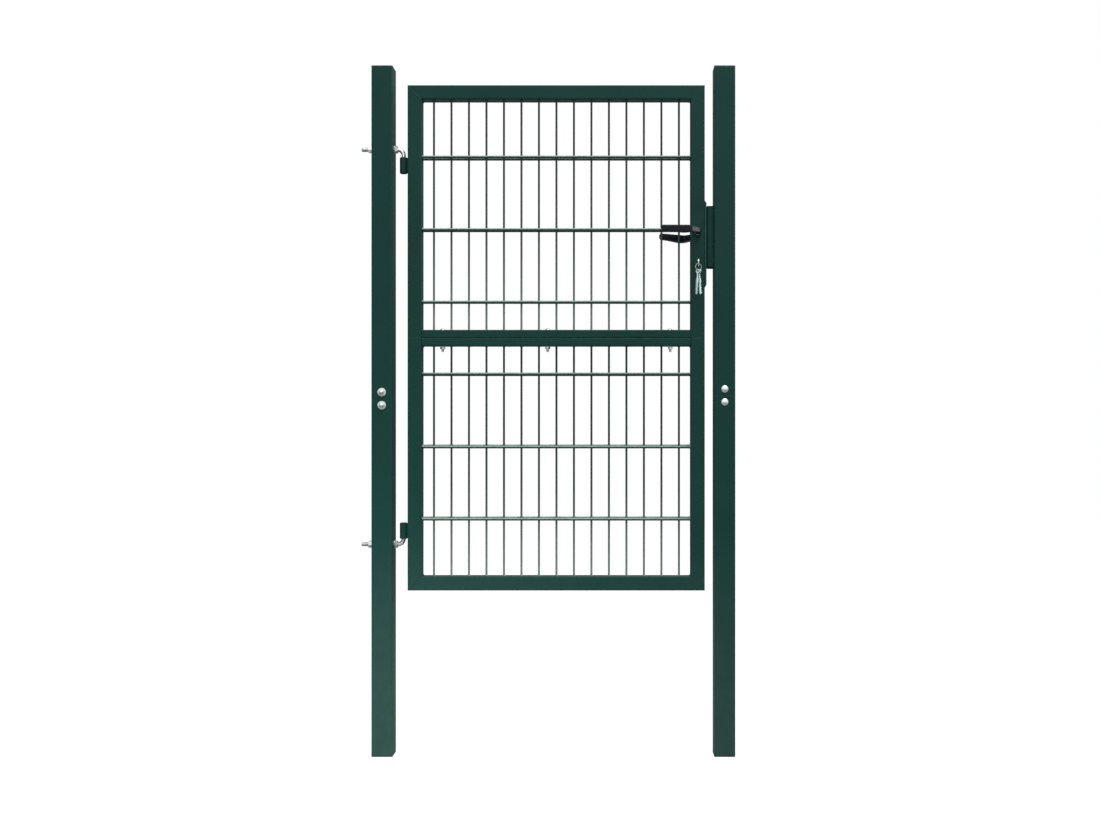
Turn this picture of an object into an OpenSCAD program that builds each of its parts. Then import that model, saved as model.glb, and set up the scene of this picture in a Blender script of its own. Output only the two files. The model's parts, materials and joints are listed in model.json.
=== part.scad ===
// Single mesh panel gate with its two posts, hinge hooks, lock, levers and keys.
// Millimetres. +X runs from the hinge post to the latch post, -Y faces the person
// who looks at the gate, +Z is up. The origin is the middle of the hinge post's foot.

/* [Gate leaf] */
// Width of the leaf over its stiles
leaf_w = 845; // [500:5:1200]
// Height of the leaf over its top and bottom rails
leaf_h = 1437; // [900:1:2000]
// Height of the leaf's underside above the foot of the posts
leaf_lift = 470; // [100:5:700]
// Side of the square tube of the stiles and rails
frame_w = 40; // [30:1:60]
// Wall of the frame tubes
frame_wall = 1.5; // [1.2:0.1:3]
// Outer corner radius of the frame tubes
frame_r = 3; // [2:0.5:5]
// Height of each of the two rails that are bolted together at mid height
mid_rail_h = 23; // [18:1:40]

/* [Posts] */
// Side of the square post tube
post_w = 60; // [50:5:100]
// Wall of the post tube
post_wall = 2; // [1.5:0.5:4]
// Outer corner radius of the post tube
post_r = 4; // [2:0.5:6]
// Height of the posts over their caps
post_h = 1960; // [1400:10:2600]
// Height of the butt joint in the hinge post
hinge_splice_z = 1015; // [700:5:1400]
// Height of the butt joint in the latch post
latch_splice_z = 1024; // [700:5:1400]
// Length of the sleeve inside each butt joint
sleeve_len = 240; // [120:10:400]
// Wall of that sleeve
sleeve_wall = 2; // [1.5:0.5:4]
// Thickness of the caps and foot plates
cap_t = 2.5; // [2:0.5:5]
// How far the plug of a cap reaches into its tube
cap_plug = 12; // [8:1:25]
// Width of the gap between the hinge post and the leaf
hinge_gap = 41; // [38:1:70]
// Width of the gap between the leaf and the latch post
latch_gap = 26; // [24:1:50]

/* [Mesh] */
// Distance between the upright wires
wire_pitch = 50; // [40:1:80]
// Diameter of the upright wires
upright_d = 6; // [4:0.5:8]
// Diameter of the twin cross wires
cross_d = 8; // [5:0.5:10]
// Height between the rows of cross wires
row_pitch = 206; // [120:2:260]

/* [Hinges] */
// Diameter of the hinge hooks
hook_d = 12; // [10:1:16]
// Distance from the post face to the axis of the hinges
hook_reach = 27; // [26:1:45]
// Length of the hook's tail beyond the far face of the post
hook_tail = 33; // [28:1:60]
// Outer diameter of the hinge barrels
barrel_d = 22; // [19:1:30]
// Length of the hinge barrels
barrel_len = 46; // [30:1:70]
// Distance of each hook from the nearer end of the leaf, upper hinge
upper_hook_inset = 180; // [100:5:350]
// Distance of each hook from the nearer end of the leaf, lower hinge
lower_hook_inset = 130; // [100:2:350]

/* [Lock] */
// Height of the lever spindle above the joint of the two half frames
spindle_rise = 300; // [200:5:450]
// Distance from the spindle down to the key
key_drop = 90; // [72:1:110]
// Length of the forend
forend_len = 248; // [200:1:320]
// Width of the forend
forend_w = 36; // [24:1:38]
// How far the forend stands out of the stile
forend_t = 5; // [3:0.5:8]
// Length of the strike keep
keep_len = 174; // [140:1:260]
// Sheet thickness of the strike keep
keep_t = 2.5; // [2:0.5:4]
// Width of the square spindle
spindle_w = 8; // [7:1:10]

/* [Levers] */
// Distance from the spindle to the free end of a lever
lever_len = 106; // [80:1:130]
// Distance from the face of the stile to the middle of a lever's grip at its root
lever_out = 70; // [60:1:90]
// Height of a grip at its root
grip_root_h = 20.5; // [17:0.5:30]
// Height of a grip at its free end
grip_tip_h = 17.5; // [14:0.5:26]
// Depth of a grip
grip_d = 14; // [10:1:20]

/* [Keys] */
// Diameter of a key's bow
bow_d = 24; // [20:1:30]
// Thickness of a key
key_t = 2.2; // [1.8:0.1:3]
// Mean diameter of the key ring
ring_d = 19; // [16:1:40]
// Diameter of the key ring's wire
ring_wire = 1.8; // [1.2:0.1:2.5]

/* [Hidden] */
$fn = 48;

// Small overlap that makes a cut run clean through a wall
cut = 1;
// Slack round a bolt, a sleeve or a case that passes through a wall
slip = 0.25;
// Running clearance of a hinge pin or key plug, on the radius
running = 0.1;
// Gap between a loose part and the seat that it hangs on
hang_gap = 0.3;
// Gap between the leaf and its stop
stop_gap = 2;
// Smallest radius of an inner tube corner
inner_r_min = 0.8;

// Leaf
leaf_x0 = post_w / 2 + hinge_gap;
leaf_x1 = leaf_x0 + leaf_w;
joint_z = leaf_lift + leaf_h / 2;
half_h = leaf_h / 2;
mesh_w = leaf_w - 2 * frame_w;
mesh_h = half_h - frame_w - mid_rail_h;
lock_x = leaf_x1 - frame_w / 2;

// Mesh
wire_gaps = floor((mesh_w - wire_pitch / 2) / wire_pitch);
wire_margin = (mesh_w - wire_gaps * wire_pitch) / 2;
cross_rows = floor((mesh_h + mid_rail_h - row_pitch / 2 - cross_d) / row_pitch) + 1;
// How far crossing wires sink into each other at their welds
weld_sink = 0.5;
cross_y = (upright_d + cross_d) / 2 - weld_sink;
wire_sides = 8;

// Latch post
latch_post_x = leaf_x1 + latch_gap + post_w / 2;

// Hinges
hinge_x = post_w / 2 + hook_reach;
upper_hook_z = joint_z + half_h - upper_hook_inset;
lower_hook_z = joint_z - half_h + lower_hook_inset;
hook_hole_d = hook_d + 1;
nut_af = 1.5 * hook_d;
nut_t = 8;
tail_nut_t = 10.8;
washer_d = 2 * hook_d;
washer_t = 2.5;
// Straight rod between the inner nut and the bend
nut_to_bend = 0.5;
hook_bend_r = hook_reach - washer_t - nut_t - nut_to_bend;
// Pin left bare above the upper barrel, because the leaf rests on the lower hook
hinge_play = 6;
pin_len = barrel_len - 3;
weld_foot_w = 12;
barrel_chamfer = 2;
rod_chamfer = 1.5;
// Part of a nut's width that its flat faces keep, and the slope of its chamfers
nut_face_share = 0.95;
nut_chamfer = 30;

// Outer corner radius and wall of what slides into a post, and its side
sleeve_r = post_r - post_wall + 1;
cap_plug_wall = 2;
sleeve_w = post_w - 2 * post_wall - 2 * slip;

// Bolts of the butt joints in the posts
splice_bolt_d = 8;
splice_bolt_pitch = 37;
big_washer_d = 24;
thin_washer_t = 1.6;
cap_nut_af = 13;
cap_nut_t = 6.5;
cap_dome_d = 12;
cap_dome_h = 5.6;
mushroom_d = 20;
mushroom_h = 4.6;

// Bolts that join the two half frames
joint_bolt_d = 8;
joint_head_d = 17;
joint_head_h = 5;
joint_nut_af = 13;
joint_nut_h = 8;
joint_flange_d = 18;
joint_flange_t = 1.8;
joint_end = 16;
joint_bolt_gaps = [0, round(wire_gaps / 2) - 1, wire_gaps - 1];

// Lock
spindle_z = joint_z + spindle_rise;
key_z = spindle_z - key_drop;
forend_below_key = 67;
forend_z0 = key_z - forend_below_key;
forend_wall = 2;
forend_r = 4;
// Length of the slope that takes each end of the forend down to the stile
forend_slope = 8;
forend_face = leaf_x1 + forend_t;
case_t = 16;
case_depth = 31;
case_margin = 12;
latch_rise = 22;
latch_z = spindle_z + latch_rise;
latch_h = 20;
latch_nose = 6.6;
latch_edge = 2;
bolt_rise = 34;
bolt_z = key_z + bolt_rise;
bolt_h = 26;
bolt_t = 11;
// Clearance round the lever's neck and the spindle where they pass through the lock
neck_clear = 2;
spindle_clear = 1;

// Euro-profile key cylinder
cyl_d = 17;
cyl_web = 10;
cyl_h = 33;
cyl_proud = 4;
plug_d = 13;
plug_len = 31;
plug_end_gap = 1;
rear_keyway_len = 14;

// Strike keep
keep_below_key = 8.5;
keep_z0 = key_z - keep_below_key;
keep_gap = 1.5;
keep_x = forend_face + keep_gap;
keep_front_y = -16;
keep_back_y = frame_w / 2 + stop_gap + keep_t;
keep_lip = 18.5;
keep_fold_r = 4.5;
keep_window_slack = 6;
window_r = 2;
stop_tab_clear = 6;
tab_r = 4;

// Levers
collar_d = 20;
collar_t = 5;
neck_d = 14;
neck_h = 15;
// How the neck leans from the spindle towards the tip, and the length of the lean
neck_lean = 40;
neck_lean_len = 34;
neck_foot_r = 10;
neck_root_r = 14;
neck_end = lever_out - neck_foot_r * sin(neck_lean) - neck_lean_len * cos(neck_lean)
    - neck_root_r * (1 - sin(neck_lean));
// Part of the change from neck to grip that is done along the lean
lean_share = 0.85;
root_top = 9;
tip_top = 12;
tip_d = grip_d - 3;
tip_r = 7;
tip_turn = 80;
// How far the grip turns back towards the leaf
grip_lean = 14;
grip_heading = 90 + grip_lean;
grip_fullness = 0.4;
// How far the outer lower edge of a grip hangs below its middle
grip_skirt = 4;
bend_steps = 5;
grip_steps = 6;
tip_steps = 4;
lever_sides = 24;
lever_gap = 0.5;
// How far the spindle reaches into each lever beyond the face of the stile
spindle_end = neck_end - 6;
spindle_slack = 0.15;

// Keys
bow_hole_d = 8;
bow_shift = 4;
// Part of a key's thickness that each rim bevel of its hole takes
rim_share = 0.4;
blade_w = 8.2;
key_blade_len = plug_len - 5;
shank_len = 6;
key_bow_y = -(frame_w / 2 + cyl_proud + shank_len + bow_d / 2);
ring_y = key_bow_y - bow_shift;
ring_top_z = key_z - bow_hole_d / 2 + ring_wire / 2 + hang_gap;
ring_z = ring_top_z - ring_d / 2;
ring_yaw = 26;
spare_bow_d = 14;
spare_hole_d = 7;
// Metal between a spare key's hole and the edge of its bow
spare_rim = 2.5;
spare_neck = 20;
spare_neck_w = 4.4;
spare_cuts = 5;
spare_cut_w = 3.2;
spare_cut_pitch = 4.2;
spare_first_cut = 8;
spare_len = 66;
spare_yaw = 42;
spare_tilt = 4.5;
spare_arc = 13;
spare_t = 2;

// Colours
paint = "darkslategray";
zinc = "gainsboro";
nickel = "silver";
plastic = "midnightblue";

// ---------- shared shapes ----------

// Rectangle with round corners, centred
module rounded_2d(w, d, r) {
    square([w - 2 * r, d], center = true);
    square([w, d - 2 * r], center = true);
    for (sx = [-1, 1], sy = [-1, 1])
        translate([sx * (w / 2 - r), sy * (d / 2 - r)]) circle(r);
}

// Section of a square or rectangular tube
module tube_2d(w, d, wall, r) {
    difference() {
        rounded_2d(w, d, r);
        rounded_2d(w - 2 * wall, d - 2 * wall, max(r - wall, inner_r_min));
    }
}

// Hexagonal nut by its width across flats, its corners chamfered at both faces
module hex_nut(af, t, bore) {
    difference() {
        intersection() {
            cylinder(h = t, d = af / cos(30), $fn = 6);
            hex_chamfer(af, t);
        }
        translate([0, 0, -cut]) cylinder(h = t + 2 * cut, d = bore);
    }
}

// Round body whose cones take the corners off a hexagon, from z = 0 to t
module hex_chamfer(af, t) {
    face_r = nut_face_share * af / 2;
    slope = tan(nut_chamfer);
    rotate_extrude()
        polygon([[0, 0], [face_r, 0], [face_r + t / 2 / slope, t / 2], [face_r, t], [0, t]]);
}

// Flat washer
module washer(d, t, bore) {
    difference() {
        cylinder(h = t, d = d);
        translate([0, 0, -cut]) cylinder(h = t + 2 * cut, d = bore);
    }
}

// Low dome with a flat underside
module dome(d, h) {
    sphere_r = (d * d / 4 + h * h) / (2 * h);
    rotate_extrude()
        intersection() {
            translate([0, h - sphere_r]) circle(sphere_r, $fn = 96);
            square([d / 2, h]);
        }
}

// Cap nut: hexagon with a round dome on top
module cap_nut() {
    intersection() {
        cylinder(h = cap_nut_t, d = cap_nut_af / cos(30), $fn = 6);
        hex_chamfer(cap_nut_af, cap_nut_t);
    }
    translate([0, 0, cap_nut_t]) dome(cap_dome_d, cap_dome_h);
}

// Round rod from z = 0 to len, its far end chamfered
module rod(len, d) {
    cylinder(h = len - rod_chamfer, d = d);
    translate([0, 0, len - rod_chamfer]) cylinder(h = rod_chamfer, d1 = d, d2 = d - 2 * rod_chamfer);
}

// ---------- posts ----------

// A length of post tube between two heights
module post_tube(z0, z1) {
    translate([0, 0, z0]) linear_extrude(z1 - z0) tube_2d(post_w, post_w, post_wall, post_r);
}

// Holes for the pair of bolts through a butt joint
module splice_bolt_holes(z) {
    for (s = [-1, 1])
        translate([0, 0, z + s * splice_bolt_pitch / 2])
            rotate([90, 0, 0]) cylinder(h = post_w + 2 * cut, d = splice_bolt_d + 2 * slip, center = true);
}

// Hole for a hinge hook from side to side of the post
module hook_hole(z) {
    translate([0, 0, z]) rotate([0, 90, 0]) cylinder(h = post_w + 2 * cut, d = hook_hole_d, center = true);
}

module lower_post(splice_z) {
    difference() {
        post_tube(cap_t, splice_z);
        splice_bolt_holes(splice_z);
    }
}

module upper_post(splice_z) {
    difference() {
        post_tube(splice_z, post_h - cap_t);
        splice_bolt_holes(splice_z);
    }
}

// Sleeve that the two lengths of a post slide over
module post_sleeve(splice_z) {
    difference() {
        translate([0, 0, splice_z - sleeve_len / 2])
            linear_extrude(sleeve_len) tube_2d(sleeve_w, sleeve_w, sleeve_wall, sleeve_r);
        splice_bolt_holes(splice_z);
    }
}

// Flat cap with a hollow plug that grips the inside of the tube, plug downwards
module post_cap() {
    translate([0, 0, -cap_t]) linear_extrude(cap_t) rounded_2d(post_w, post_w, post_r);
    translate([0, 0, -cap_t - cap_plug])
        linear_extrude(cap_plug) tube_2d(sleeve_w, sleeve_w, cap_plug_wall, sleeve_r);
}

// Bolt through a butt joint: cap nut and washer at one end, mushroom head at the other.
// The mushroom head is at +Z, the cap nut at -Z, and the bolt is centred on the post.
module splice_bolt() {
    translate([0, 0, post_w / 2]) dome(mushroom_d, mushroom_h);
    cylinder(h = post_w, d = splice_bolt_d, center = true);
    mirror([0, 0, 1]) translate([0, 0, post_w / 2]) {
        cylinder(h = thin_washer_t, d = big_washer_d);
        translate([0, 0, thin_washer_t]) cap_nut();
    }
}

// The pair of bolts through a post, with the mushroom heads at the front or at the back
module splice_bolts(x, z, heads_front) {
    for (s = [-1, 1])
        translate([x, 0, z + s * splice_bolt_pitch / 2])
            rotate([heads_front ? 90 : -90, 0, 0]) splice_bolt();
}

module hinge_post_lower() {
    color(paint) difference() {
        lower_post(hinge_splice_z);
        hook_hole(lower_hook_z);
    }
}

module hinge_post_upper() {
    color(paint) difference() {
        upper_post(hinge_splice_z);
        hook_hole(upper_hook_z);
    }
}

module hinge_post_sleeve() {
    color(zinc) post_sleeve(hinge_splice_z);
}

module hinge_post_cap() {
    color(paint) translate([0, 0, post_h]) post_cap();
}

module hinge_post_foot_cap() {
    color(paint) mirror([0, 0, 1]) post_cap();
}

module hinge_post_bolts() {
    color(zinc) splice_bolts(0, hinge_splice_z, false);
}

module latch_post_lower() {
    color(paint) translate([latch_post_x, 0, 0]) lower_post(latch_splice_z);
}

module latch_post_upper() {
    color(paint) translate([latch_post_x, 0, 0]) upper_post(latch_splice_z);
}

module latch_post_sleeve() {
    color(zinc) translate([latch_post_x, 0, 0]) post_sleeve(latch_splice_z);
}

module latch_post_cap() {
    color(paint) translate([latch_post_x, 0, post_h]) post_cap();
}

module latch_post_foot_cap() {
    color(paint) translate([latch_post_x, 0, 0]) mirror([0, 0, 1]) post_cap();
}

module latch_post_bolts() {
    color(zinc) splice_bolts(latch_post_x, latch_splice_z, true);
}

// Folded keep on the latch post: a web with two windows faces the forend, flanges at the
// front and the rear reach the post, and two tabs of the rear flange stop the leaf.
module strike_keep() {
    color(paint) difference() {
        union() {
            translate([0, 0, keep_z0]) linear_extrude(keep_len) keep_2d();
            stop_tab(key_z + cyl_d / 2 + stop_tab_clear, spindle_z - collar_d / 2 - stop_tab_clear);
            stop_tab(spindle_z + collar_d / 2 + stop_tab_clear, keep_z0 + keep_len);
        }
        keep_window(latch_z, latch_h);
        keep_window(bolt_z, bolt_h);
    }
}

// Section of the keep: a channel with round folds, open towards the post
module keep_2d() {
    post_face = latch_post_x - post_w / 2;
    depth = post_face - keep_x;
    breadth = keep_back_y - keep_front_y;
    intersection() {
        translate([post_face, (keep_back_y + keep_front_y) / 2])
            tube_2d(2 * depth, breadth, keep_t, keep_fold_r);
        translate([keep_x, keep_front_y]) square([depth, breadth]);
    }
}

// Tab of the rear flange behind the lock stile, between two heights, its free corners round
module stop_tab(z0, z1) {
    w = keep_lip + keep_fold_r;
    translate([keep_x - keep_lip, keep_back_y, z0]) rotate([90, 0, 0]) linear_extrude(keep_t) {
        translate([w / 2, (z1 - z0) / 2]) rounded_2d(w, z1 - z0, tab_r);
        translate([w / 2, 0]) square([w / 2, z1 - z0]);
    }
}

// Window in the keep's web for a bolt of height h
module keep_window(z, h) {
    translate([keep_x - cut, 0, z]) rotate([90, 0, 90]) linear_extrude(keep_t + 2 * cut)
        rounded_2d(case_t, h + 2 * keep_window_slack, window_r);
}

// ---------- hinges ----------

// Hook with its tail through the post and its pin turned down, rod axis at z = 0
module hinge_hook() {
    straight = post_w / 2 + hook_reach - hook_bend_r;
    translate([straight, 0, 0]) rotate([0, -90, 0]) rod(straight + post_w / 2 + hook_tail, hook_d);
    translate([straight, 0, -hook_bend_r]) rotate([90, 0, 0])
        rotate_extrude(angle = 90) translate([hook_bend_r, 0]) circle(d = hook_d);
    translate([hinge_x, 0, -hook_bend_r]) mirror([0, 0, 1]) rod(pin_len, hook_d);
}

// Nuts that clamp a hook to the post, each with a washer
module hook_nuts(z) {
    color(zinc) translate([0, 0, z]) {
        translate([post_w / 2, 0, 0]) rotate([0, 90, 0]) {
            washer(washer_d, washer_t, hook_d + 2 * running);
            translate([0, 0, washer_t]) hex_nut(nut_af, nut_t, hook_d + 2 * running);
        }
        translate([-post_w / 2, 0, 0]) rotate([0, -90, 0]) {
            washer(washer_d, washer_t, hook_d + 2 * running);
            translate([0, 0, washer_t]) hex_nut(nut_af, tail_nut_t, hook_d + 2 * running);
        }
    }
}

// Barrel with chamfered ends and a flat foot that is welded to the hinge stile, from z = 0 up
module hinge_barrel() {
    outer = barrel_d / 2;
    inner = outer - barrel_chamfer;
    color(paint) translate([hinge_x, 0, 0]) difference() {
        union() {
            rotate_extrude()
                polygon([[0, 0], [inner, 0], [outer, barrel_chamfer],
                    [outer, barrel_len - barrel_chamfer], [inner, barrel_len], [0, barrel_len]]);
            translate([0, -weld_foot_w / 2, barrel_chamfer])
                cube([leaf_x0 - hinge_x, weld_foot_w, barrel_len - 2 * barrel_chamfer]);
        }
        translate([0, 0, -cut]) cylinder(h = barrel_len + 2 * cut, d = hook_d + 2 * running);
    }
}

module upper_hinge_hook() {
    color(zinc) translate([0, 0, upper_hook_z]) hinge_hook();
}

module lower_hinge_hook() {
    color(zinc) translate([0, 0, lower_hook_z]) mirror([0, 0, 1]) hinge_hook();
}

module upper_hook_nuts() {
    hook_nuts(upper_hook_z);
}

module lower_hook_nuts() {
    hook_nuts(lower_hook_z);
}

module upper_hinge_barrel() {
    translate([0, 0, upper_hook_z - hook_bend_r - hinge_play - barrel_len]) hinge_barrel();
}

module lower_hinge_barrel() {
    translate([0, 0, lower_hook_z + hook_bend_r]) hinge_barrel();
}

// ---------- leaf frame ----------

// Prism that trims a tube to an outline seen from the front, [x, z] from the leaf's
// hinge-side edge and the joint of the half frames
module trim(outline) {
    rotate([90, 0, 0]) linear_extrude(frame_w + 2 * cut, center = true) polygon(outline);
}

// Upright of the upper half frame, mitred at the top, in the leaf's own frame
module stile() {
    intersection() {
        translate([frame_w / 2, 0, 0]) linear_extrude(half_h) tube_2d(frame_w, frame_w, frame_wall, frame_r);
        trim([[0, 0], [frame_w, 0], [frame_w, half_h - frame_w], [0, half_h]]);
    }
}

// Rail along the end of the upper half frame, mitred at both ends
module end_rail() {
    intersection() {
        translate([0, 0, half_h - frame_w / 2]) rotate([0, 90, 0])
            linear_extrude(leaf_w) tube_2d(frame_w, frame_w, frame_wall, frame_r);
        trim([[0, half_h], [leaf_w, half_h], [leaf_w - frame_w, half_h - frame_w],
            [frame_w, half_h - frame_w]]);
    }
}

// Rail of the upper half frame at the joint, between the stiles
module mid_rail() {
    difference() {
        translate([frame_w, 0, mid_rail_h / 2]) rotate([0, 90, 0])
            linear_extrude(mesh_w) tube_2d(mid_rail_h, frame_w, frame_wall, frame_r);
        for (gap = joint_bolt_gaps)
            translate([joint_bolt_x(gap), 0, -cut])
                cylinder(h = mid_rail_h + 2 * cut, d = joint_bolt_d + 2 * slip);
    }
}

// Place of a joining bolt: midway between two upright wires
function joint_bolt_x(gap) = frame_w + wire_margin + (gap + 0.5) * wire_pitch;

// Puts a piece of a half frame in its place, the lower half as the upper one's mirror image
module in_half(upper) {
    translate([leaf_x0, 0, joint_z]) mirror([0, 0, upper ? 0 : 1]) children();
}

module mirrored_stile() {
    translate([leaf_w, 0, 0]) mirror([1, 0, 0]) stile();
}

// Welded wire panel of one half: uprights, and a pair of cross wires at each row
module wire_panel() {
    for (i = [0:wire_gaps])
        translate([frame_w + wire_margin + i * wire_pitch, 0, mid_rail_h])
            wire(upright_d, mesh_h);
    for (row = [0:cross_rows - 1], s = [-1, 1])
        translate([frame_w, s * cross_y, row_pitch * (row + 0.5)])
            rotate([0, 90, 0]) wire(cross_d, mesh_w);
}

// Wire with flats that lie at its true radius
module wire(d, len) {
    half_turn = 180 / wire_sides;
    rotate([0, 0, half_turn]) cylinder(h = len, d = d / cos(half_turn), $fn = wire_sides);
}

module upper_hinge_stile() {
    color(paint) in_half(true) stile();
}

module lower_hinge_stile() {
    color(paint) in_half(false) stile();
}

// Upper lock stile, cut for the lock case, the spindle and the key cylinder
module upper_lock_stile() {
    color(paint) difference() {
        in_half(true) mirrored_stile();
        translate([leaf_x1 - frame_w / 2, -case_t / 2 - slip, case_z0() - slip])
            cube([frame_w / 2 + cut, case_t + 2 * slip, case_len() + 2 * slip]);
        translate([lock_x, 0, spindle_z]) rotate([90, 0, 0])
            cylinder(h = frame_w + 2 * cut, d = neck_d + neck_clear, center = true);
        cylinder_profile(frame_w + 2 * cut, slip);
    }
}

module lower_lock_stile() {
    color(paint) in_half(false) mirrored_stile();
}

module top_rail() {
    color(paint) in_half(true) end_rail();
}

module bottom_rail() {
    color(paint) in_half(false) end_rail();
}

module upper_mid_rail() {
    color(paint) in_half(true) mid_rail();
}

module lower_mid_rail() {
    color(paint) in_half(false) mid_rail();
}

module upper_mesh() {
    color(paint) in_half(true) wire_panel();
}

module lower_mesh() {
    color(paint) in_half(false) wire_panel();
}

// Domed bolts down through both mid rails
module joining_bolts() {
    shank = 2 * mid_rail_h + joint_end;
    color(zinc) for (gap = joint_bolt_gaps)
        translate([leaf_x0 + joint_bolt_x(gap), 0, joint_z + mid_rail_h]) {
            dome(joint_head_d, joint_head_h);
            translate([0, 0, -shank]) cylinder(h = shank, d = joint_bolt_d);
        }
}

// Flanged nuts under the lower mid rail
module joining_nuts() {
    color(zinc) for (gap = joint_bolt_gaps)
        translate([leaf_x0 + joint_bolt_x(gap), 0, joint_z - mid_rail_h]) mirror([0, 0, 1]) {
            washer(joint_flange_d, joint_flange_t, joint_bolt_d + 2 * running);
            translate([0, 0, joint_flange_t])
                hex_nut(joint_nut_af, joint_nut_h - joint_flange_t, joint_bolt_d + 2 * running);
        }
}

// ---------- lock ----------

function case_z0() = forend_z0 + case_margin;
function case_len() = forend_len - 2 * case_margin;

// Outline of the key cylinder through the stile, from front to back, grown by extra
module cylinder_profile(len, extra) {
    translate([lock_x, 0, key_z]) rotate([90, 0, 0]) linear_extrude(len, center = true) {
        circle(d = cyl_d + 2 * extra);
        translate([-cyl_web / 2 - extra, -cyl_h + cyl_d / 2 - extra])
            square([cyl_web + 2 * extra, cyl_h - cyl_d / 2]);
    }
}

// Tray over the open side of the lock, its ends sloped, with a slot for each bolt
module lock_forend() {
    color(paint) translate([leaf_x1, 0, forend_z0]) {
        difference() {
            intersection() {
                rotate([90, 0, 90]) linear_extrude(forend_t)
                    translate([0, forend_len / 2]) rounded_2d(forend_w, forend_len, forend_r);
                rotate([90, 0, 0]) linear_extrude(forend_w, center = true)
                    polygon([[0, 0], [forend_t, forend_slope],
                        [forend_t, forend_len - forend_slope], [0, forend_len]]);
            }
            translate([-cut, -case_t / 2 - slip, case_margin - slip])
                cube([forend_t - forend_wall + cut, case_t + 2 * slip, case_len() + 2 * slip]);
            forend_slot(latch_z - forend_z0, latch_h);
            forend_slot(bolt_z - forend_z0, bolt_h);
        }
    }
}

// Slot through the face of the forend for a bolt of height h
module forend_slot(z, h) {
    translate([0, -bolt_t / 2 - slip, z - h / 2 - slip])
        cube([forend_t + cut, bolt_t + 2 * slip, h + 2 * slip]);
}

// Closed case that fills the slot in the stile, open for the spindle, cylinder and bolts
module lock_case() {
    color(zinc) difference() {
        translate([leaf_x1 - case_depth, -case_t / 2, case_z0()])
            cube([case_depth + forend_t - forend_wall, case_t, case_len()]);
        translate([lock_x, 0, spindle_z]) rotate([90, 0, 0])
            cylinder(h = case_t + 2 * cut, d = spindle_w * sqrt(2) + spindle_clear, center = true);
        cylinder_profile(case_t + 2 * cut, slip);
        bolt_pocket(latch_z, latch_h);
        bolt_pocket(bolt_z, bolt_h);
    }
}

// Pocket in the case for a bolt of height h
module bolt_pocket(z, h) {
    translate([leaf_x1 - frame_w / 4 - slip, -bolt_t / 2 - slip, z - h / 2 - slip])
        cube([frame_w / 2, bolt_t + 2 * slip, h + 2 * slip]);
}

// Spring latch, drawn back so that its nose is level with the forend
module latch_bolt() {
    color(nickel) translate([0, 0, latch_z - latch_h / 2]) linear_extrude(latch_h)
        polygon([[leaf_x1 - frame_w / 4, -bolt_t / 2], [forend_face - latch_nose, -bolt_t / 2],
            [forend_face, bolt_t / 2 - latch_edge], [forend_face, bolt_t / 2],
            [leaf_x1 - frame_w / 4, bolt_t / 2]]);
}

// Dead bolt, drawn back level with the forend
module dead_bolt() {
    color(nickel) translate([leaf_x1 - frame_w / 4, -bolt_t / 2, bolt_z - bolt_h / 2])
        cube([forend_face - leaf_x1 + frame_w / 4, bolt_t, bolt_h]);
}

// Double key cylinder with the bore of its front plug and the keyway of its rear one
module lock_cylinder() {
    face = frame_w / 2 + cyl_proud;
    color(nickel) difference() {
        cylinder_profile(2 * face, 0);
        translate([lock_x, -face - cut, key_z]) rotate([-90, 0, 0])
            cylinder(h = plug_len + cut, d = plug_d + 2 * running);
        keyway(face - rear_keyway_len, face + cut);
    }
}

// Slot for a key's blade between two places through the leaf
module keyway(y0, y1) {
    w = key_t + slip;
    h = blade_w + slip;
    translate([lock_x - w / 2, y0, key_z - h / 2]) cube([w, y1 - y0, h]);
}

// ---------- levers ----------

// Lever at the front, pointing to -X from the spindle; y = 0 is the face of the stile
module lever() {
    slot_w = spindle_w + 2 * spindle_slack;
    difference() {
        union() {
            rotate([90, 0, 0]) translate([0, 0, lever_gap]) rod(collar_t, collar_d);
            skin([for (station = lever_stations()) lever_ring(station)]);
        }
        translate([-slot_w / 2, -spindle_end - spindle_slack, -slot_w / 2])
            cube([slot_w, spindle_end + spindle_slack + cut, slot_w]);
    }
}

// Stations along a lever, from the collar along the leaning neck to the tip of the grip. Each
// is [x, y, heading, half depth, top, bottom]; the heading turns from -Y through -X.
function lever_stations() = concat(
    [for (out = [collar_t / 2, neck_end]) [0, -out, 0, neck_d / 2, neck_h / 2, -neck_h / 2]],
    [for (i = [1:bend_steps]) foot_station(i / bend_steps)],
    [for (i = [0:bend_steps]) root_station(i / bend_steps)],
    [for (i = [1:grip_steps]) grip_station(i / grip_steps)],
    [for (i = [1:tip_steps]) tip_station(tip_turn * i / tip_steps)]
);

// Station on the bend at the foot of the neck
function foot_station(t) = let (heading = neck_lean * t) [
    -neck_foot_r * (1 - cos(heading)), -neck_end - neck_foot_r * sin(heading), heading,
    neck_d / 2, neck_h / 2, -neck_h / 2];

// Station on the bend where the neck becomes the root of the grip
function root_station(t) = let (
    foot = foot_station(1), heading = blend(neck_lean, grip_heading, t),
    e = blend(lean_share, 1, ease(t))) [
    foot[0] - neck_lean_len * sin(neck_lean) - neck_root_r * (cos(neck_lean) - cos(heading)),
    foot[1] - neck_lean_len * cos(neck_lean) - neck_root_r * (sin(heading) - sin(neck_lean)),
    heading, blend(neck_d, grip_d, e) / 2, blend(neck_h / 2, root_top, e),
    blend(-neck_h / 2, root_top - grip_root_h, e)];

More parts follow.
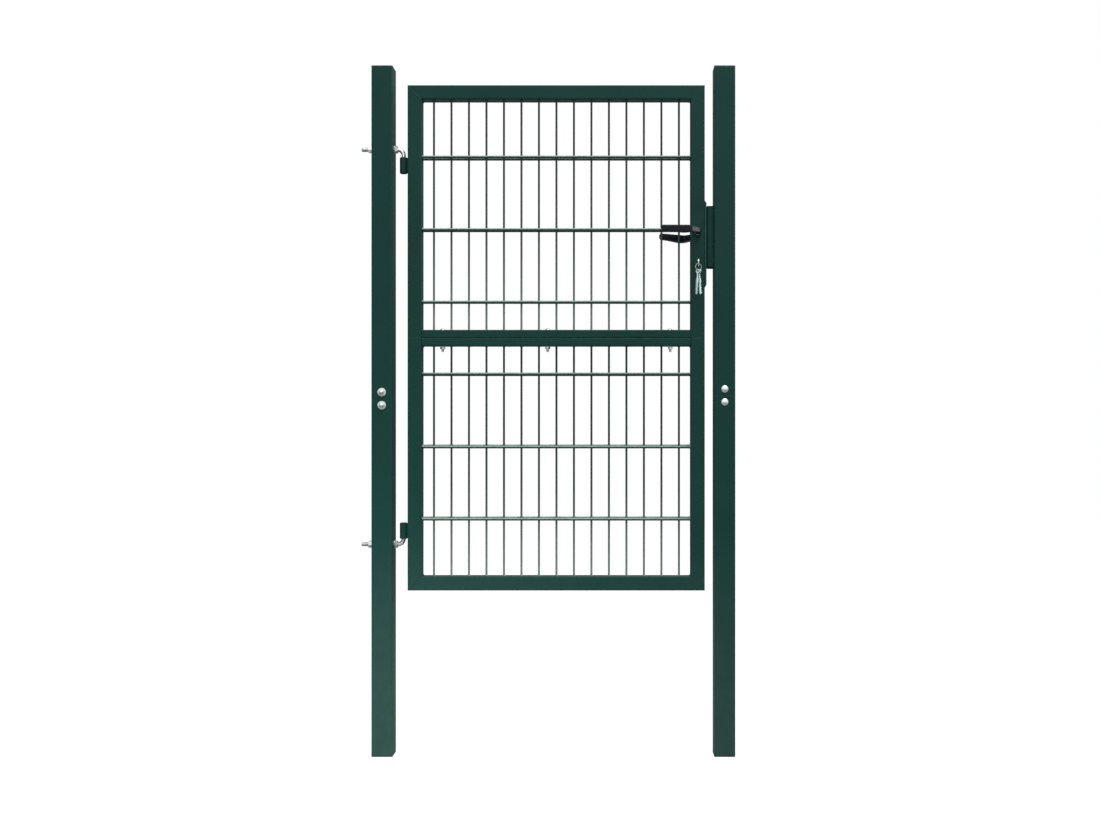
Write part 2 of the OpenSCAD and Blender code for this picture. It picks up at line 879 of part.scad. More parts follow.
// Station on the grip, which thins, rises and leans towards the leaf
function grip_station(t) = let (
    root = root_station(1), tip_x = lever_len - tip_r * sin(tip_turn) * sin(grip_heading),
    run = t * (tip_x + root[0])) [
    root[0] - run, root[1] - run * cos(grip_heading) / sin(grip_heading), grip_heading,
    blend(grip_d, tip_d, t) / 2, blend(root_top, tip_top, t),
    blend(root_top - grip_root_h, tip_top - grip_tip_h, ease(t))];

// Station on the rounded tip of the grip at an angle from its start
function tip_station(turn) = let (end = grip_station(1), mid = (end[4] + end[5]) / 2) [
    end[0] - tip_r * sin(turn) * sin(end[2]), end[1] - tip_r * sin(turn) * cos(end[2]),
    end[2], end[3] * cos(turn), blend(mid, end[4], cos(turn)), blend(mid, end[5], cos(turn))];

// Closed ring of points round a station: a full upright oval across the heading, whose outer
// lower corner hangs more the further the neck has turned into the grip
function lever_ring(s) = let (mid = (s[4] + s[5]) / 2, half = (s[4] - s[5]) / 2,
    hang = 4 * grip_skirt / (grip_d * grip_root_h) * s[2] / grip_heading)
    [for (k = [0:lever_sides - 1])
        let (a = 360 * k / lever_sides, u = s[3] * fuller(cos(a)), v = half * fuller(sin(a)))
            [s[0] + u * cos(s[2]), s[1] - u * sin(s[2]),
             mid + v - hang * max(0, u) * max(0, -v)]];

// Straight blend from a to b, and a smooth start and stop for one
function blend(a, b, t) = a + (b - a) * t;
function ease(t) = t * t * (3 - 2 * t);

// Sine or cosine v pushed outwards, which fills the corners of an oval
function fuller(v) = sign(v) * pow(abs(v), grip_fullness);

// Solid over rings of points that follow one another, closed flat at both ends
module skin(rings) {
    n = len(rings[0]);
    last = len(rings) - 1;
    sides = [for (i = [0:last - 1], k = [0:n - 1])
        let (a = i * n + k, b = i * n + (k + 1) % n) each [[a, b + n, b], [a, a + n, b + n]]];
    near_end = [for (k = [0:n - 1]) k];
    far_end = [for (k = [n - 1:-1:0]) last * n + k];
    polyhedron([for (ring = rings) each ring], concat([near_end], sides, [far_end]));
}

module front_lever() {
    color(plastic) translate([lock_x, -frame_w / 2, spindle_z]) lever();
}

module rear_lever() {
    color(plastic) translate([lock_x, frame_w / 2, spindle_z]) mirror([0, 1, 0]) lever();
}

// Square bar through the lock from lever to lever
module lever_spindle() {
    color(zinc) translate([lock_x, 0, spindle_z])
        cube([spindle_w, frame_w + 2 * spindle_end, spindle_w], center = true);
}

// ---------- keys ----------

// Front plug of the cylinder, slotted for the key
module key_plug() {
    front_y = -frame_w / 2 - cyl_proud;
    color(nickel) difference() {
        translate([lock_x, front_y, key_z]) rotate([-90, 0, 0])
            cylinder(h = plug_len - plug_end_gap, d = plug_d);
        keyway(front_y - cut, front_y + key_blade_len + plug_end_gap);
    }
}

// Key in the plug, its bow edge-on to the front
module key() {
    color(nickel) translate([lock_x - key_t / 2, key_bow_y, key_z]) rotate([90, 0, 90])
        difference() {
            linear_extrude(key_t) {
                circle(d = bow_d);
                translate([0, -blade_w / 2]) square([bow_d / 2 + shank_len + key_blade_len, blade_w]);
            }
            translate([-bow_shift, 0, 0]) bow_hole(bow_hole_d, key_t);
        }
}

// Hole through a bow from z = 0 to its thickness t, with a bevel at each rim
module bow_hole(d, t) {
    translate([0, 0, -cut]) cylinder(h = t + 2 * cut, d = d);
    bevel = rim_share * t;
    for (side = [0, 1])
        translate([0, 0, side * t]) mirror([0, 0, 1 - side])
            translate([0, 0, -bevel]) cylinder(h = 2 * bevel, d1 = d, d2 = d + 4 * bevel);
}

// Wire ring that hangs in the hole of the key's bow
module key_ring() {
    color(nickel) translate([lock_x, ring_y, ring_z]) rotate([0, 0, ring_yaw]) rotate([90, 0, 0])
        rotate_extrude() translate([ring_d / 2, 0]) circle(d = ring_wire);
}

// Spare key with the hole of its bow at the origin, hanging down in the XZ plane
module spare_key() {
    bow_z = spare_hole_d / 2 + spare_rim - spare_bow_d / 2;
    tip_z = -spare_len + blade_w / 2;
    translate([0, spare_t / 2, 0]) rotate([90, 0, 0]) difference() {
        linear_extrude(spare_t) difference() {
            union() {
                translate([0, bow_z]) circle(d = spare_bow_d);
                translate([-spare_neck_w / 2, -spare_neck - cut])
                    square([spare_neck_w, spare_neck + cut + bow_z]);
                translate([-blade_w / 2, tip_z]) square([blade_w, -spare_neck - tip_z]);
                translate([0, tip_z]) circle(d = blade_w);
            }
            for (i = [0:spare_cuts])
                translate([blade_w / 2, spare_first_cut - spare_len + i * spare_cut_pitch])
                    circle(d = spare_cut_w * (1 - 0.1 * (i % 3)), $fn = 6);
        }
        bow_hole(spare_hole_d, spare_t);
    }
}

// A spare key hung on the ring, side -1 left or 1 right of the ring's lowest point
module hung_spare_key(side) {
    drop = spare_hole_d / 2 - ring_wire / 2 - hang_gap;
    along = side * ring_d / 2 * sin(spare_arc);
    wire_z = ring_z - ring_d / 2 * cos(spare_arc);
    color(nickel) translate([lock_x + along * cos(ring_yaw), ring_y + along * sin(ring_yaw), wire_z])
        rotate([0, 0, -spare_yaw]) rotate([0, -side * spare_tilt, 0]) translate([0, 0, -drop]) spare_key();
}

module left_spare_key() {
    hung_spare_key(-1);
}

module right_spare_key() {
    hung_spare_key(1);
}

hinge_post_lower();
hinge_post_upper();
hinge_post_sleeve();
hinge_post_cap();
hinge_post_foot_cap();
hinge_post_bolts();
latch_post_lower();
latch_post_upper();
latch_post_sleeve();
latch_post_cap();
latch_post_foot_cap();
latch_post_bolts();
strike_keep();
upper_hinge_hook();
lower_hinge_hook();
upper_hook_nuts();
lower_hook_nuts();
upper_hinge_stile();
upper_lock_stile();
top_rail();
upper_mid_rail();
lower_hinge_stile();
lower_lock_stile();
bottom_rail();
lower_mid_rail();
upper_mesh();
lower_mesh();
upper_hinge_barrel();
lower_hinge_barrel();
joining_bolts();
joining_nuts();
lock_forend();
lock_case();
latch_bolt();
dead_bolt();
lock_cylinder();
front_lever();
rear_lever();
lever_spindle();
key_plug();
key();
key_ring();
left_spare_key();
right_spare_key();
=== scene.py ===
"""Looks of a single mesh panel gate with two posts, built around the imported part.

The square tubes, the strike keep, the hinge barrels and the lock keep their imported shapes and
only get finishes here. The wires, hooks, nuts, joining bolts, caps, levers and keys are built
anew with round wires, threads and chamfers, and weld beads are added. Sizes of the classes are
in millimetres, those of the finishes and of the studio in metres.
"""

import json
import logging
import math
import random
from dataclasses import dataclass
from enum import Enum

import bmesh
import bpy
from mathutils import Matrix, Vector


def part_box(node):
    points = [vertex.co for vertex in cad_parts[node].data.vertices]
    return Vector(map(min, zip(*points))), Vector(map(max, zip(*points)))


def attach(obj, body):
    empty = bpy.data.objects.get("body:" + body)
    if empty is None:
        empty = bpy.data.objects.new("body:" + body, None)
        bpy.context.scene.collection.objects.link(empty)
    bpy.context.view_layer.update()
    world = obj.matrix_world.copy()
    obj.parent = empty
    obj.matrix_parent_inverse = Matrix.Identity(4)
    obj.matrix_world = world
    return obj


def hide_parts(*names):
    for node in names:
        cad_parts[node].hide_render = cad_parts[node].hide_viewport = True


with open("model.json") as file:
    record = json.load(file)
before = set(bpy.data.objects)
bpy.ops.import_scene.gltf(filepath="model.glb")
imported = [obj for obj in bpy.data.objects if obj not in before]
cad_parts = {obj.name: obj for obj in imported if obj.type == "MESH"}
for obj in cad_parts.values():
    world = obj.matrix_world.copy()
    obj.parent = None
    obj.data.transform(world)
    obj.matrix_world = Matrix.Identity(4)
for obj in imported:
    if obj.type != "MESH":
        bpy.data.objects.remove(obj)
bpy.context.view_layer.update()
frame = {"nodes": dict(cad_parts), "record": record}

log = logging.getLogger("mesh_gate")

METRES = 0.001
FULL_TURN = 2 * math.pi
RIGHT = (1.0, 0.0, 0.0)
BACK = (0.0, 1.0, 0.0)
FRONT = (0.0, -1.0, 0.0)
UP = (0.0, 0.0, 1.0)
DOWN = (0.0, 0.0, -1.0)

Colour = tuple[float, float, float]
Edge = bmesh.types.BMEdge
Pair = tuple[float, float]
Point = tuple[float, float, float]
Profile = list[Pair]
Material = bpy.types.Material
Node = bpy.types.Node
Shape = bmesh.types.BMesh
Socket = bpy.types.NodeSocket
Tree = bpy.types.NodeTree


class Body(Enum):
    """Bodies of the gate that its pieces ride on."""

    POSTS = "posts"
    LEAF = "leaf"
    LEVERS = "levers"
    KEY = "key_and_plug"
    RING = "ring_of_keys"


class Slot(Enum):
    """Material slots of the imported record."""

    FRAME = "green_frame_paint"
    WIRE = "green_wire_paint"
    CAP = "cap_plastic"
    ZINC = "zinc_plate"
    GALVANISED = "raw_galvanised"
    LEVER = "lever_plastic"
    NICKEL = "nickel"
    RING = "ring_steel"


# ---------------------------------------------------------------- node kit


class Graph:
    """Short ways to add and join the nodes of one node tree."""

    nodes_a_row = 8
    node_step = (200, -260)

    def __init__(self, tree: Tree) -> None:
        """Keeps the tree and starts an empty row of nodes.

        Args:
            tree: Node tree of a material, the world or a group.
        """
        self.tree = tree
        self.count = 0

    def add(self, kind: str, inputs: dict | None = None, **settings: object) -> Node:
        """Adds a node, sets its options, and sets or joins its inputs.

        Args:
            kind: Blender's name of the node type.
            inputs: Values or output sockets by input name or number.
            settings: Options of the node itself.

        Returns:
            The new node.
        """
        node = self.tree.nodes.new(kind)
        row, place = divmod(self.count, self.nodes_a_row)
        node.location = (self.node_step[0] * place, self.node_step[1] * row)
        self.count += 1
        for key, value in settings.items():
            setattr(node, key, value)
        for key, value in (inputs or {}).items():
            self.join(value, node.inputs[key])
        return node

    def join(self, value: object, socket: Socket) -> None:
        """Links an output socket to an input, or sets the input to a value.

        Args:
            value: Output socket, number or tuple.
            socket: Input to fill.
        """
        if isinstance(value, Socket):
            self.tree.links.new(value, socket)
        else:
            socket.default_value = value

    def group(self, tree: Tree, **values: float) -> Node:
        """Places a shared shader group with its own values, and returns its node."""
        return self.add("ShaderNodeGroup", values, node_tree=tree)

    def maths(self, operation: str, *values: object, clamp: bool = False) -> Socket:
        """Joins one or two values in a Math node and returns its result."""
        inputs = dict(enumerate(values))
        return self.add("ShaderNodeMath", inputs, operation=operation, use_clamp=clamp).outputs[0]

    def mix_colour(self, share: object, low: object, high: object) -> Socket:
        """Blends two colours by a share from 0 to 1 and returns the result."""
        return self.add("ShaderNodeMix", {0: share, 6: low, 7: high}, data_type="RGBA").outputs[2]

    def mix_value(self, share: object, low: object, high: object) -> Socket:
        """Blends two numbers by a share from 0 to 1 and returns the result."""
        return self.add("ShaderNodeMix", {0: share, 2: low, 3: high}, data_type="FLOAT").outputs[0]

    def ramp(self, value: object, start: object, end: object, low: object = 0.0,
             high: object = 1.0) -> Socket:
        """Maps a value from start..end to low..high, clamped, and returns the result."""
        return self.add("ShaderNodeMapRange", {0: value, 1: start, 2: end, 3: low, 4: high}).outputs[0]

    def place(self) -> Socket:
        """Returns the Object coordinates."""
        return self.add("ShaderNodeTexCoord").outputs["Object"]

    def noise(self, scale: object, detail: float = 2.0, vector: object = None) -> Socket:
        """Returns the value of a noise over Object coordinates, at a scale per metre."""
        inputs = {"Vector": vector or self.place(), "Scale": scale, "Detail": detail}
        return self.add("ShaderNodeTexNoise", inputs).outputs[0]

    def relief(self, shader: Node, height: Socket, edges: Node, strength: float, depth: float) -> None:
        """Raises a fine relief on a shader, over its softened edges.

        Args:
            shader: Shader that takes the relief.
            height: Height of the relief, from 0 to 1.
            edges: Node of the softened edges.
            strength: Share of the relief that shows.
            depth: Depth of the relief in metres.
        """
        inputs = {"Height": height, "Normal": edges.outputs["Normal"], "Strength": strength,
                  "Distance": depth}
        self.join(self.add("ShaderNodeBump", inputs).outputs[0], shader.inputs["Normal"])


def new_group(name: str, inputs: dict[str, float],
              outputs: dict[str, str]) -> tuple[Graph, dict[str, Socket], Node]:
    """Starts a shader node group.

    Args:
        name: Name of the group.
        inputs: Default of each number that the group takes.
        outputs: Kind of each output: Float, Color or Vector.

    Returns:
        The group's graph, its input sockets by name, and its output node.
    """
    tree = bpy.data.node_groups.new(name, "ShaderNodeTree")
    for label, default in inputs.items():
        socket = tree.interface.new_socket(label, in_out="INPUT", socket_type="NodeSocketFloat")
        socket.default_value = default
    for label, kind in outputs.items():
        tree.interface.new_socket(label, in_out="OUTPUT", socket_type=f"NodeSocket{kind}")
    graph = Graph(tree)
    source = graph.add("NodeGroupInput")
    sink = graph.add("NodeGroupOutput")
    return graph, {label: source.outputs[label] for label in inputs}, sink


def edge_group(bend: Pair = (0.01, 0.16), gaps: Pair = (0.42, 0.6), faintest: float = 0.25) -> Tree:
    """Softened edges: a rounded normal and a broken mask along every sharp edge.

    Args:
        bend: Turn of the rounded normal where the mask starts and where it is full.
        gaps: Noise values where the mask is faintest and where it is full.
        faintest: Share of the mask that is left in its gaps.

    Returns:
        The group.
    """
    g, given, out = new_group("soft_edges", {"Width": 0.001, "Break-up": 60.0, "Amount": 0.5},
                              {"Mask": "Float", "Normal": "Vector"})
    rounded = g.add("ShaderNodeBevel", {"Radius": given["Width"]}, samples=6).outputs[0]
    flat = g.add("ShaderNodeNewGeometry").outputs["Normal"]
    agree = g.add("ShaderNodeVectorMath", {0: rounded, 1: flat}, operation="DOT_PRODUCT").outputs["Value"]
    edge = g.ramp(g.maths("SUBTRACT", 1.0, agree), *bend)
    broken = g.ramp(g.noise(given["Break-up"], detail=4.0), *gaps, faintest, 1.0)
    edge_share = g.maths("MULTIPLY", g.maths("MULTIPLY", edge, broken), given["Amount"], clamp=True)
    g.join(edge_share, out.inputs["Mask"])
    g.join(rounded, out.inputs["Normal"])
    return g.tree


def powder_group(fineness: float = 3.1, fine_share: float = 0.3, clouds: Pair = (0.3, 0.7),
                 speck_scale: float = 260.0, speck_rim: Pair = (0.1, 0.04)) -> Tree:
    """Skin of a powder coat: orange-peel height, cloudy tone and pin-prick specks.

    Args:
        fineness: How many times finer the second grain is than the first.
        fine_share: Share of the second grain in the height.
        clouds: Noise values of the lowest and the highest tone.
        speck_scale: Specks per metre.
        speck_rim: Distances from a speck's middle where it starts and where it is full.

    Returns:
        The group.
    """
    g, given, out = new_group("powder_skin", {"Grain": 600.0, "Cloud": 5.0},
                              {"Height": "Float", "Tone": "Float", "Speck": "Float"})
    peel = g.noise(given["Grain"], detail=1.5)
    fine = g.noise(g.maths("MULTIPLY", given["Grain"], fineness), detail=1.0)
    g.join(g.mix_value(fine_share, peel, fine), out.inputs["Height"])
    g.join(g.ramp(g.noise(given["Cloud"], detail=5.0), *clouds), out.inputs["Tone"])
    cells = g.add("ShaderNodeTexVoronoi", {"Vector": g.place(), "Scale": speck_scale})
    g.join(g.ramp(cells.outputs["Distance"], *speck_rim), out.inputs["Speck"])
    return g.tree


def dust_and_sheen_group(paler_low_height: float = 0.65, patches: Pair = (0.35, 0.7), thinnest: float = 0.7) -> Tree:
    """Mask of dust and of a painted highlight on faces that look up, and of a paler band low down, thicker in
    patches.

    Args:
        paler_low_height: Height above the ground where the paler band ends, in metres.
        patches: Noise values where the mask is thinnest and where it is full.
        thinnest: Share of the mask between its patches.

    Returns:
        The group.
    """
    inputs = {"Amount": 0.3, "Patch": 30.0, "Start": 0.35, "Full": 0.95, "Splash": 0.0}
    g, given, out = new_group("dust_and_top_sheen", inputs, {"Mask": "Float"})
    normal = g.add("ShaderNodeSeparateXYZ", {0: g.add("ShaderNodeNewGeometry").outputs["Normal"]})
    facing_up = g.ramp(normal.outputs["Z"], given["Start"], given["Full"])
    patchy = g.ramp(g.noise(given["Patch"], detail=6.0), *patches, thinnest, 1.0)
    on_top = g.maths("MULTIPLY", facing_up, given["Amount"])
    level = g.add("ShaderNodeSeparateXYZ", {0: g.place()}).outputs["Z"]
    # Paler towards the ground, fading out upwards.
    paler_low_mask = g.ramp(level, 0.0, paler_low_height, given["Splash"], 0.0)
    g.join(g.maths("MULTIPLY", g.maths("MAXIMUM", on_top, paler_low_mask), patchy), out.inputs["Mask"])
    return g.tree


def plating_group(clouds: Pair = (0.32, 0.68), drawn_out: float = 0.12, polish: Pair = (0.3, 0.75),
                  mark_scale: float = 2400.0) -> Tree:
    """Skin of plated steel: cloudy tone, drawn streaks and small handling marks.

    Args:
        clouds: Noise values of the lowest and the highest tone.
        drawn_out: Scale of the streaks along X, as a share of their scale across.
        polish: Noise values of the lowest and the highest polish.
        mark_scale: Handling marks per metre.

    Returns:
        The group.
    """
    g, given, out = new_group("plated_skin", {"Cloud": 90.0, "Streak": 900.0},
                              {"Tone": "Float", "Polish": "Float", "Height": "Float"})
    g.join(g.ramp(g.noise(given["Cloud"], detail=4.0), *clouds), out.inputs["Tone"])
    drawn = g.add("ShaderNodeMapping", {"Vector": g.place(), "Scale": (drawn_out, 1.0, 1.0)})
    streaks = g.noise(given["Streak"], 3.0, drawn.outputs[0])
    g.join(g.ramp(streaks, *polish), out.inputs["Polish"])
    g.join(g.mix_value(0.5, streaks, g.noise(mark_scale)), out.inputs["Height"])
    return g.tree


def moulded_group(cloud_scale: float = 22.0, clouds: Pair = (0.3, 0.7)) -> Tree:
    """Skin of a moulded plastic: fine spark texture and a faint cloud of tone.

    Args:
        cloud_scale: Clouds per metre.
        clouds: Noise values of the lowest and the highest tone.

    Returns:
        The group.
    """
    g, given, out = new_group("moulded_skin", {"Grain": 2200.0}, {"Height": "Float", "Tone": "Float"})
    g.join(g.noise(given["Grain"]), out.inputs["Height"])
    g.join(g.ramp(g.noise(cloud_scale, detail=4.0), *clouds), out.inputs["Tone"])
    return g.tree


# ---------------------------------------------------------------- finishes


class Skins:
    """The shader node groups that the finishes share, each built once."""

    def __init__(self) -> None:
        """Builds the groups."""
        self.edges = edge_group()
        self.powder = powder_group()
        self.dust_and_sheen = dust_and_sheen_group()
        self.plating = plating_group()
        self.moulded = moulded_group()


def start_material(name: str, colour: Colour) -> tuple[Material, Graph, Node]:
    """Makes a material with one Principled BSDF.

    Args:
        name: Name of the material.
        colour: Linear colour for the solid view.

    Returns:
        The material, the graph of its nodes, and the shader node.
    """
    material = bpy.data.materials.new(name)
    material.use_nodes = True
    material.diffuse_color = rgba(colour)
    return material, Graph(material.node_tree), material.node_tree.nodes["Principled BSDF"]


def rgba(colour: Colour) -> tuple[float, float, float, float]:
    """Returns a colour with full alpha."""
    return (*colour, 1.0)


@dataclass(frozen=True)
class PowderCoat:
    """Powder coat on steel tube or wire, paler on top for dust and a painted highlight, and on its edges for
    thin paint and a painted highlight.
    """

    name: str
    deep: Colour = (0.0056, 0.0405, 0.0340)
    pale: Colour = (0.0076, 0.0490, 0.0408)
    # Paler edge colour: thin paint on worn edges and a painted highlight along the corners; specks take it
    # too.
    edge: Colour = (0.022, 0.072, 0.060)
    # Pale colour on faces that look up: dust, and on the wires a painted highlight.
    dust_and_sheen: Colour = (0.24, 0.35, 0.31)
    specular: float = 0.15
    gloss: Pair = (0.36, 0.46)
    dust_and_sheen_gloss: float = 0.8
    grain: float = 620.0
    peel: Pair = (0.35, 0.00012)
    speck_share: float = 0.12
    edge_width: float = 0.0026
    edge_amount: float = 0.3
    dust_and_sheen_amount: float = 0.05
    dust_and_sheen_lean: Pair = (0.35, 0.95)
    # Share of the pale colour at the ground, fading out upwards.
    paler_low_share: float = 0.11

    def material(self, skins: Skins) -> Material:
        """Builds the paint's material.

        Args:
            skins: Shared shader groups.

        Returns:
            The material.
        """
        material, g, shader = start_material(self.name, self.deep)
        powder = g.group(skins.powder, Grain=self.grain)
        edges = g.group(skins.edges, Width=self.edge_width, Amount=self.edge_amount)
        start, full = self.dust_and_sheen_lean
        dust_and_sheen = g.group(skins.dust_and_sheen, Amount=self.dust_and_sheen_amount, Start=start, Full=full, Splash=self.paler_low_share)
        paint = g.mix_colour(powder.outputs["Tone"], rgba(self.deep), rgba(self.pale))
        # Paler edges: thin paint and a painted highlight along the corners.
        paint = g.mix_colour(edges.outputs["Mask"], paint, rgba(self.edge))
        speck = g.maths("MULTIPLY", powder.outputs["Speck"], self.speck_share)
        paint = g.mix_colour(speck, paint, rgba(self.edge))
        # Pale tops: dust, and on the wires a painted highlight.
        g.join(g.mix_colour(dust_and_sheen.outputs["Mask"], paint, rgba(self.dust_and_sheen)), shader.inputs["Base Color"])
        rough = g.mix_value(powder.outputs["Tone"], *self.gloss)
        g.join(g.mix_value(dust_and_sheen.outputs["Mask"], rough, self.dust_and_sheen_gloss), shader.inputs["Roughness"])
        shader.inputs["Specular IOR Level"].default_value = self.specular
        g.relief(shader, powder.outputs["Height"], edges, *self.peel)
        return material


@dataclass(frozen=True)
class PlatedMetal:
    """Bright plated or bare metal with cloudy tone and drawn streaks."""

    name: str
    bright: Colour = (0.82, 0.88, 0.86)
    dull: Colour = (0.55, 0.60, 0.58)
    gloss: Pair = (0.22, 0.42)
    cloud: float = 90.0
    streak: float = 900.0
    grain_relief: Pair = (0.4, 0.00006)
    edge_width: float = 0.0005

    def material(self, skins: Skins) -> Material:
        """Builds the metal's material.

        Args:
            skins: Shared shader groups.

        Returns:
            The material.
        """
        material, g, shader = start_material(self.name, self.bright)
        skin = g.group(skins.plating, Cloud=self.cloud, Streak=self.streak)
        edges = g.group(skins.edges, Width=self.edge_width)
        metal = g.mix_colour(skin.outputs["Tone"], rgba(self.dull), rgba(self.bright))
        g.join(g.mix_colour(edges.outputs["Mask"], metal, rgba(self.bright)), shader.inputs["Base Color"])
        polished, matt = self.gloss
        g.join(g.mix_value(skin.outputs["Polish"], matt, polished), shader.inputs["Roughness"])
        shader.inputs["Metallic"].default_value = 1.0
        g.relief(shader, skin.outputs["Height"], edges, *self.grain_relief)
        return material


@dataclass(frozen=True)
class MouldedPlastic:
    """Moulded plastic with a fine spark texture, and edges paler for rubbing and a painted highlight."""

    name: str
    deep: Colour
    pale: Colour
    # Paler edge colour: rubbing, and on the lever a painted highlight.
    rubbed_edge_and_highlight: Colour
    # Pale colour on faces that look up: dust, and on the lever a painted highlight.
    dust_and_sheen: Colour = (0.30, 0.33, 0.30)
    specular: float = 0.5
    gloss: Pair = (0.30, 0.45)
    grain: float = 2200.0
    spark: Pair = (0.4, 0.00004)
    edge_width: float = 0.001
    edge_amount: float = 0.5
    dust_and_sheen_amount: float = 0.12

    def material(self, skins: Skins) -> Material:
        """Builds the plastic's material.

        Args:
            skins: Shared shader groups.

        Returns:
            The material.
        """
        material, g, shader = start_material(self.name, self.deep)
        skin = g.group(skins.moulded, Grain=self.grain)
        edges = g.group(skins.edges, Width=self.edge_width, Amount=self.edge_amount)
        dust_and_sheen = g.group(skins.dust_and_sheen, Amount=self.dust_and_sheen_amount)
        plastic = g.mix_colour(skin.outputs["Tone"], rgba(self.deep), rgba(self.pale))
        # Paler edges: rubbing, and on the lever a painted highlight.
        plastic = g.mix_colour(edges.outputs["Mask"], plastic, rgba(self.rubbed_edge_and_highlight))
        # Pale tops: dust, and on the lever a painted highlight.
        g.join(g.mix_colour(dust_and_sheen.outputs["Mask"], plastic, rgba(self.dust_and_sheen)), shader.inputs["Base Color"])
        g.join(g.mix_value(skin.outputs["Tone"], *self.gloss), shader.inputs["Roughness"])
        shader.inputs["Specular IOR Level"].default_value = self.specular
        g.relief(shader, skin.outputs["Height"], edges, *self.spark)
        return material


FINISHES = {
    Slot.FRAME: PowderCoat("frame_powder_coat"),
    # Wire paint: its pale tops are a painted highlight along the top of each wire, with a little dust.
    Slot.WIRE: PowderCoat("wire_powder_coat", (0.0100, 0.0350, 0.0295), (0.0135, 0.0430, 0.0365),
                          dust_and_sheen=(0.34, 0.48, 0.41), specular=0.5, gloss=(0.28, 0.36), grain=900.0,
                          peel=(0.35, 0.0001), edge_amount=0.0, dust_and_sheen_amount=0.75,
                          dust_and_sheen_lean=(0.04, 0.28), paler_low_share=0.0),
    Slot.CAP: MouldedPlastic("green_cap_plastic", (0.006, 0.024, 0.019), (0.009, 0.030, 0.024),
                             (0.03, 0.06, 0.05)),
    Slot.ZINC: PlatedMetal("bright_zinc"),
    Slot.GALVANISED: PlatedMetal("galvanised_steel", (0.60, 0.62, 0.63), (0.38, 0.40, 0.41),
                                 (0.35, 0.6), 240.0, 500.0),
    # Lever: its pale edge colour and pale tops are a painted highlight along the grip, with some rubbing and
    # dust.
    Slot.LEVER: MouldedPlastic("lever_nylon", (0.0055, 0.0088, 0.0135), (0.0080, 0.0118, 0.0180),
                               (0.30, 0.33, 0.39), specular=0.15, gloss=(0.20, 0.30),
                               edge_width=0.003, edge_amount=0.8, dust_and_sheen_amount=0.18),
    Slot.NICKEL: PlatedMetal("satin_nickel", (0.70, 0.87, 0.86), (0.55, 0.70, 0.69), (0.18, 0.36),
                             160.0, 1400.0),
    Slot.RING: PlatedMetal("ring_wire", (0.46, 0.52, 0.50), (0.28, 0.33, 0.31), (0.16, 0.30),
                           200.0, 1600.0),
}
# Near-black nickel: the lock cylinder and its key plug are drawn dark.
DARK_NICKEL = PlatedMetal("dark_nickel", (0.060, 0.085, 0.078), (0.022, 0.035, 0.031),
                            (0.40, 0.60), 120.0, 900.0)
# Paler copy of the frame paint for the lock forend: a painted highlight where its front edge catches the
# light.
FOREND_HIGHLIGHT_COAT = PowderCoat("forend_highlight_coat", (0.0210, 0.0780, 0.0620), (0.0270, 0.0900, 0.0740))
OWN_FINISHES = {"lock_cylinder": DARK_NICKEL, "key_plug": DARK_NICKEL, "lock_forend": FOREND_HIGHLIGHT_COAT}


# ---------------------------------------------------------------- shapes


HEALED = 1e-3
WELD_SHARP = 60.0


def span(node: str) -> tuple[Vector, Vector]:
    """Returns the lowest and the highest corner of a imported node, in millimetres."""
    low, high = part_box(node)
    return low / METRES, high / METRES


def middle(node: str) -> Vector:
    """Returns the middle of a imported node's box, in millimetres."""
    low, high = span(node)
    return (low + high) / 2


def blend(start: float, end: float, share: float) -> float:
    """Returns the value that lies a share of the way from start to end."""
    return start + (end - start) * share


def eased(share: float) -> float:
    """Returns a share from 0 to 1 with a slow start and a slow end."""
    return share * share * (3 - 2 * share)


def aimed(place: Point | Vector, along: Point | Vector, up: Point | Vector = UP) -> Matrix:
    """Makes a frame whose Z runs along a direction and whose Y leans to another.

    Args:
        place: Where the origin goes.
        along: Direction of the local Z.
        up: Direction that the local Y is nearest to.

    Returns:
        The frame, without scale.
    """
    z_axis = Vector(along).normalized()
    y_axis = (Vector(up) - Vector(up).project(z_axis)).normalized()
    turn = Matrix((y_axis.cross(z_axis), y_axis, z_axis)).transposed().to_4x4()
    return Matrix.Translation(Vector(place)) @ turn


def raised(height: float) -> Matrix:
    """Returns a frame that lies a height along Z."""
    return Matrix.Translation((0, 0, height))


def edges_of(items: list) -> list[Edge]:
    """Returns the edges among the mixed elements that an operator gives back."""
    return [item for item in items if isinstance(item, Edge)]


def turned(profile: Profile, sides: int = 24) -> Shape:
    """Spins a profile round Z into a closed turned shape.

    Args:
        profile: Corners as (radius, height), from the lower middle to the upper middle.
        sides: Steps of the full turn.

    Returns:
        The shape.
    """
    shape = bmesh.new()
    verts = [shape.verts.new((radius, 0.0, height)) for radius, height in profile]
    edges = [shape.edges.new(pair) for pair in zip(verts, verts[1:])]
    bmesh.ops.spin(shape, geom=verts + edges, cent=(0, 0, 0), axis=(0, 0, 1), dvec=(0, 0, 0),
                   angle=FULL_TURN, steps=sides, use_merge=True)
    return shape


def disc(size: Pair, foot: Pair, *shoulder: Pair) -> Shape:
    """Makes a flat round disc from z = 0 up, its lower rim cut and its upper rim rounded.

    Args:
        size: Diameter and height.
        foot: How far in and how far up the cut of the lower rim goes.
        shoulder: How far in and how far down each corner of the upper rim lies.

    Returns:
        The shape.
    """
    radius, height = size[0] / 2, size[1]
    upper = [(radius - inset, height - drop) for inset, drop in shoulder]
    return turned([(0, 0), (radius - foot[0], 0), (radius, foot[1]), *upper, (0, height)], 40)


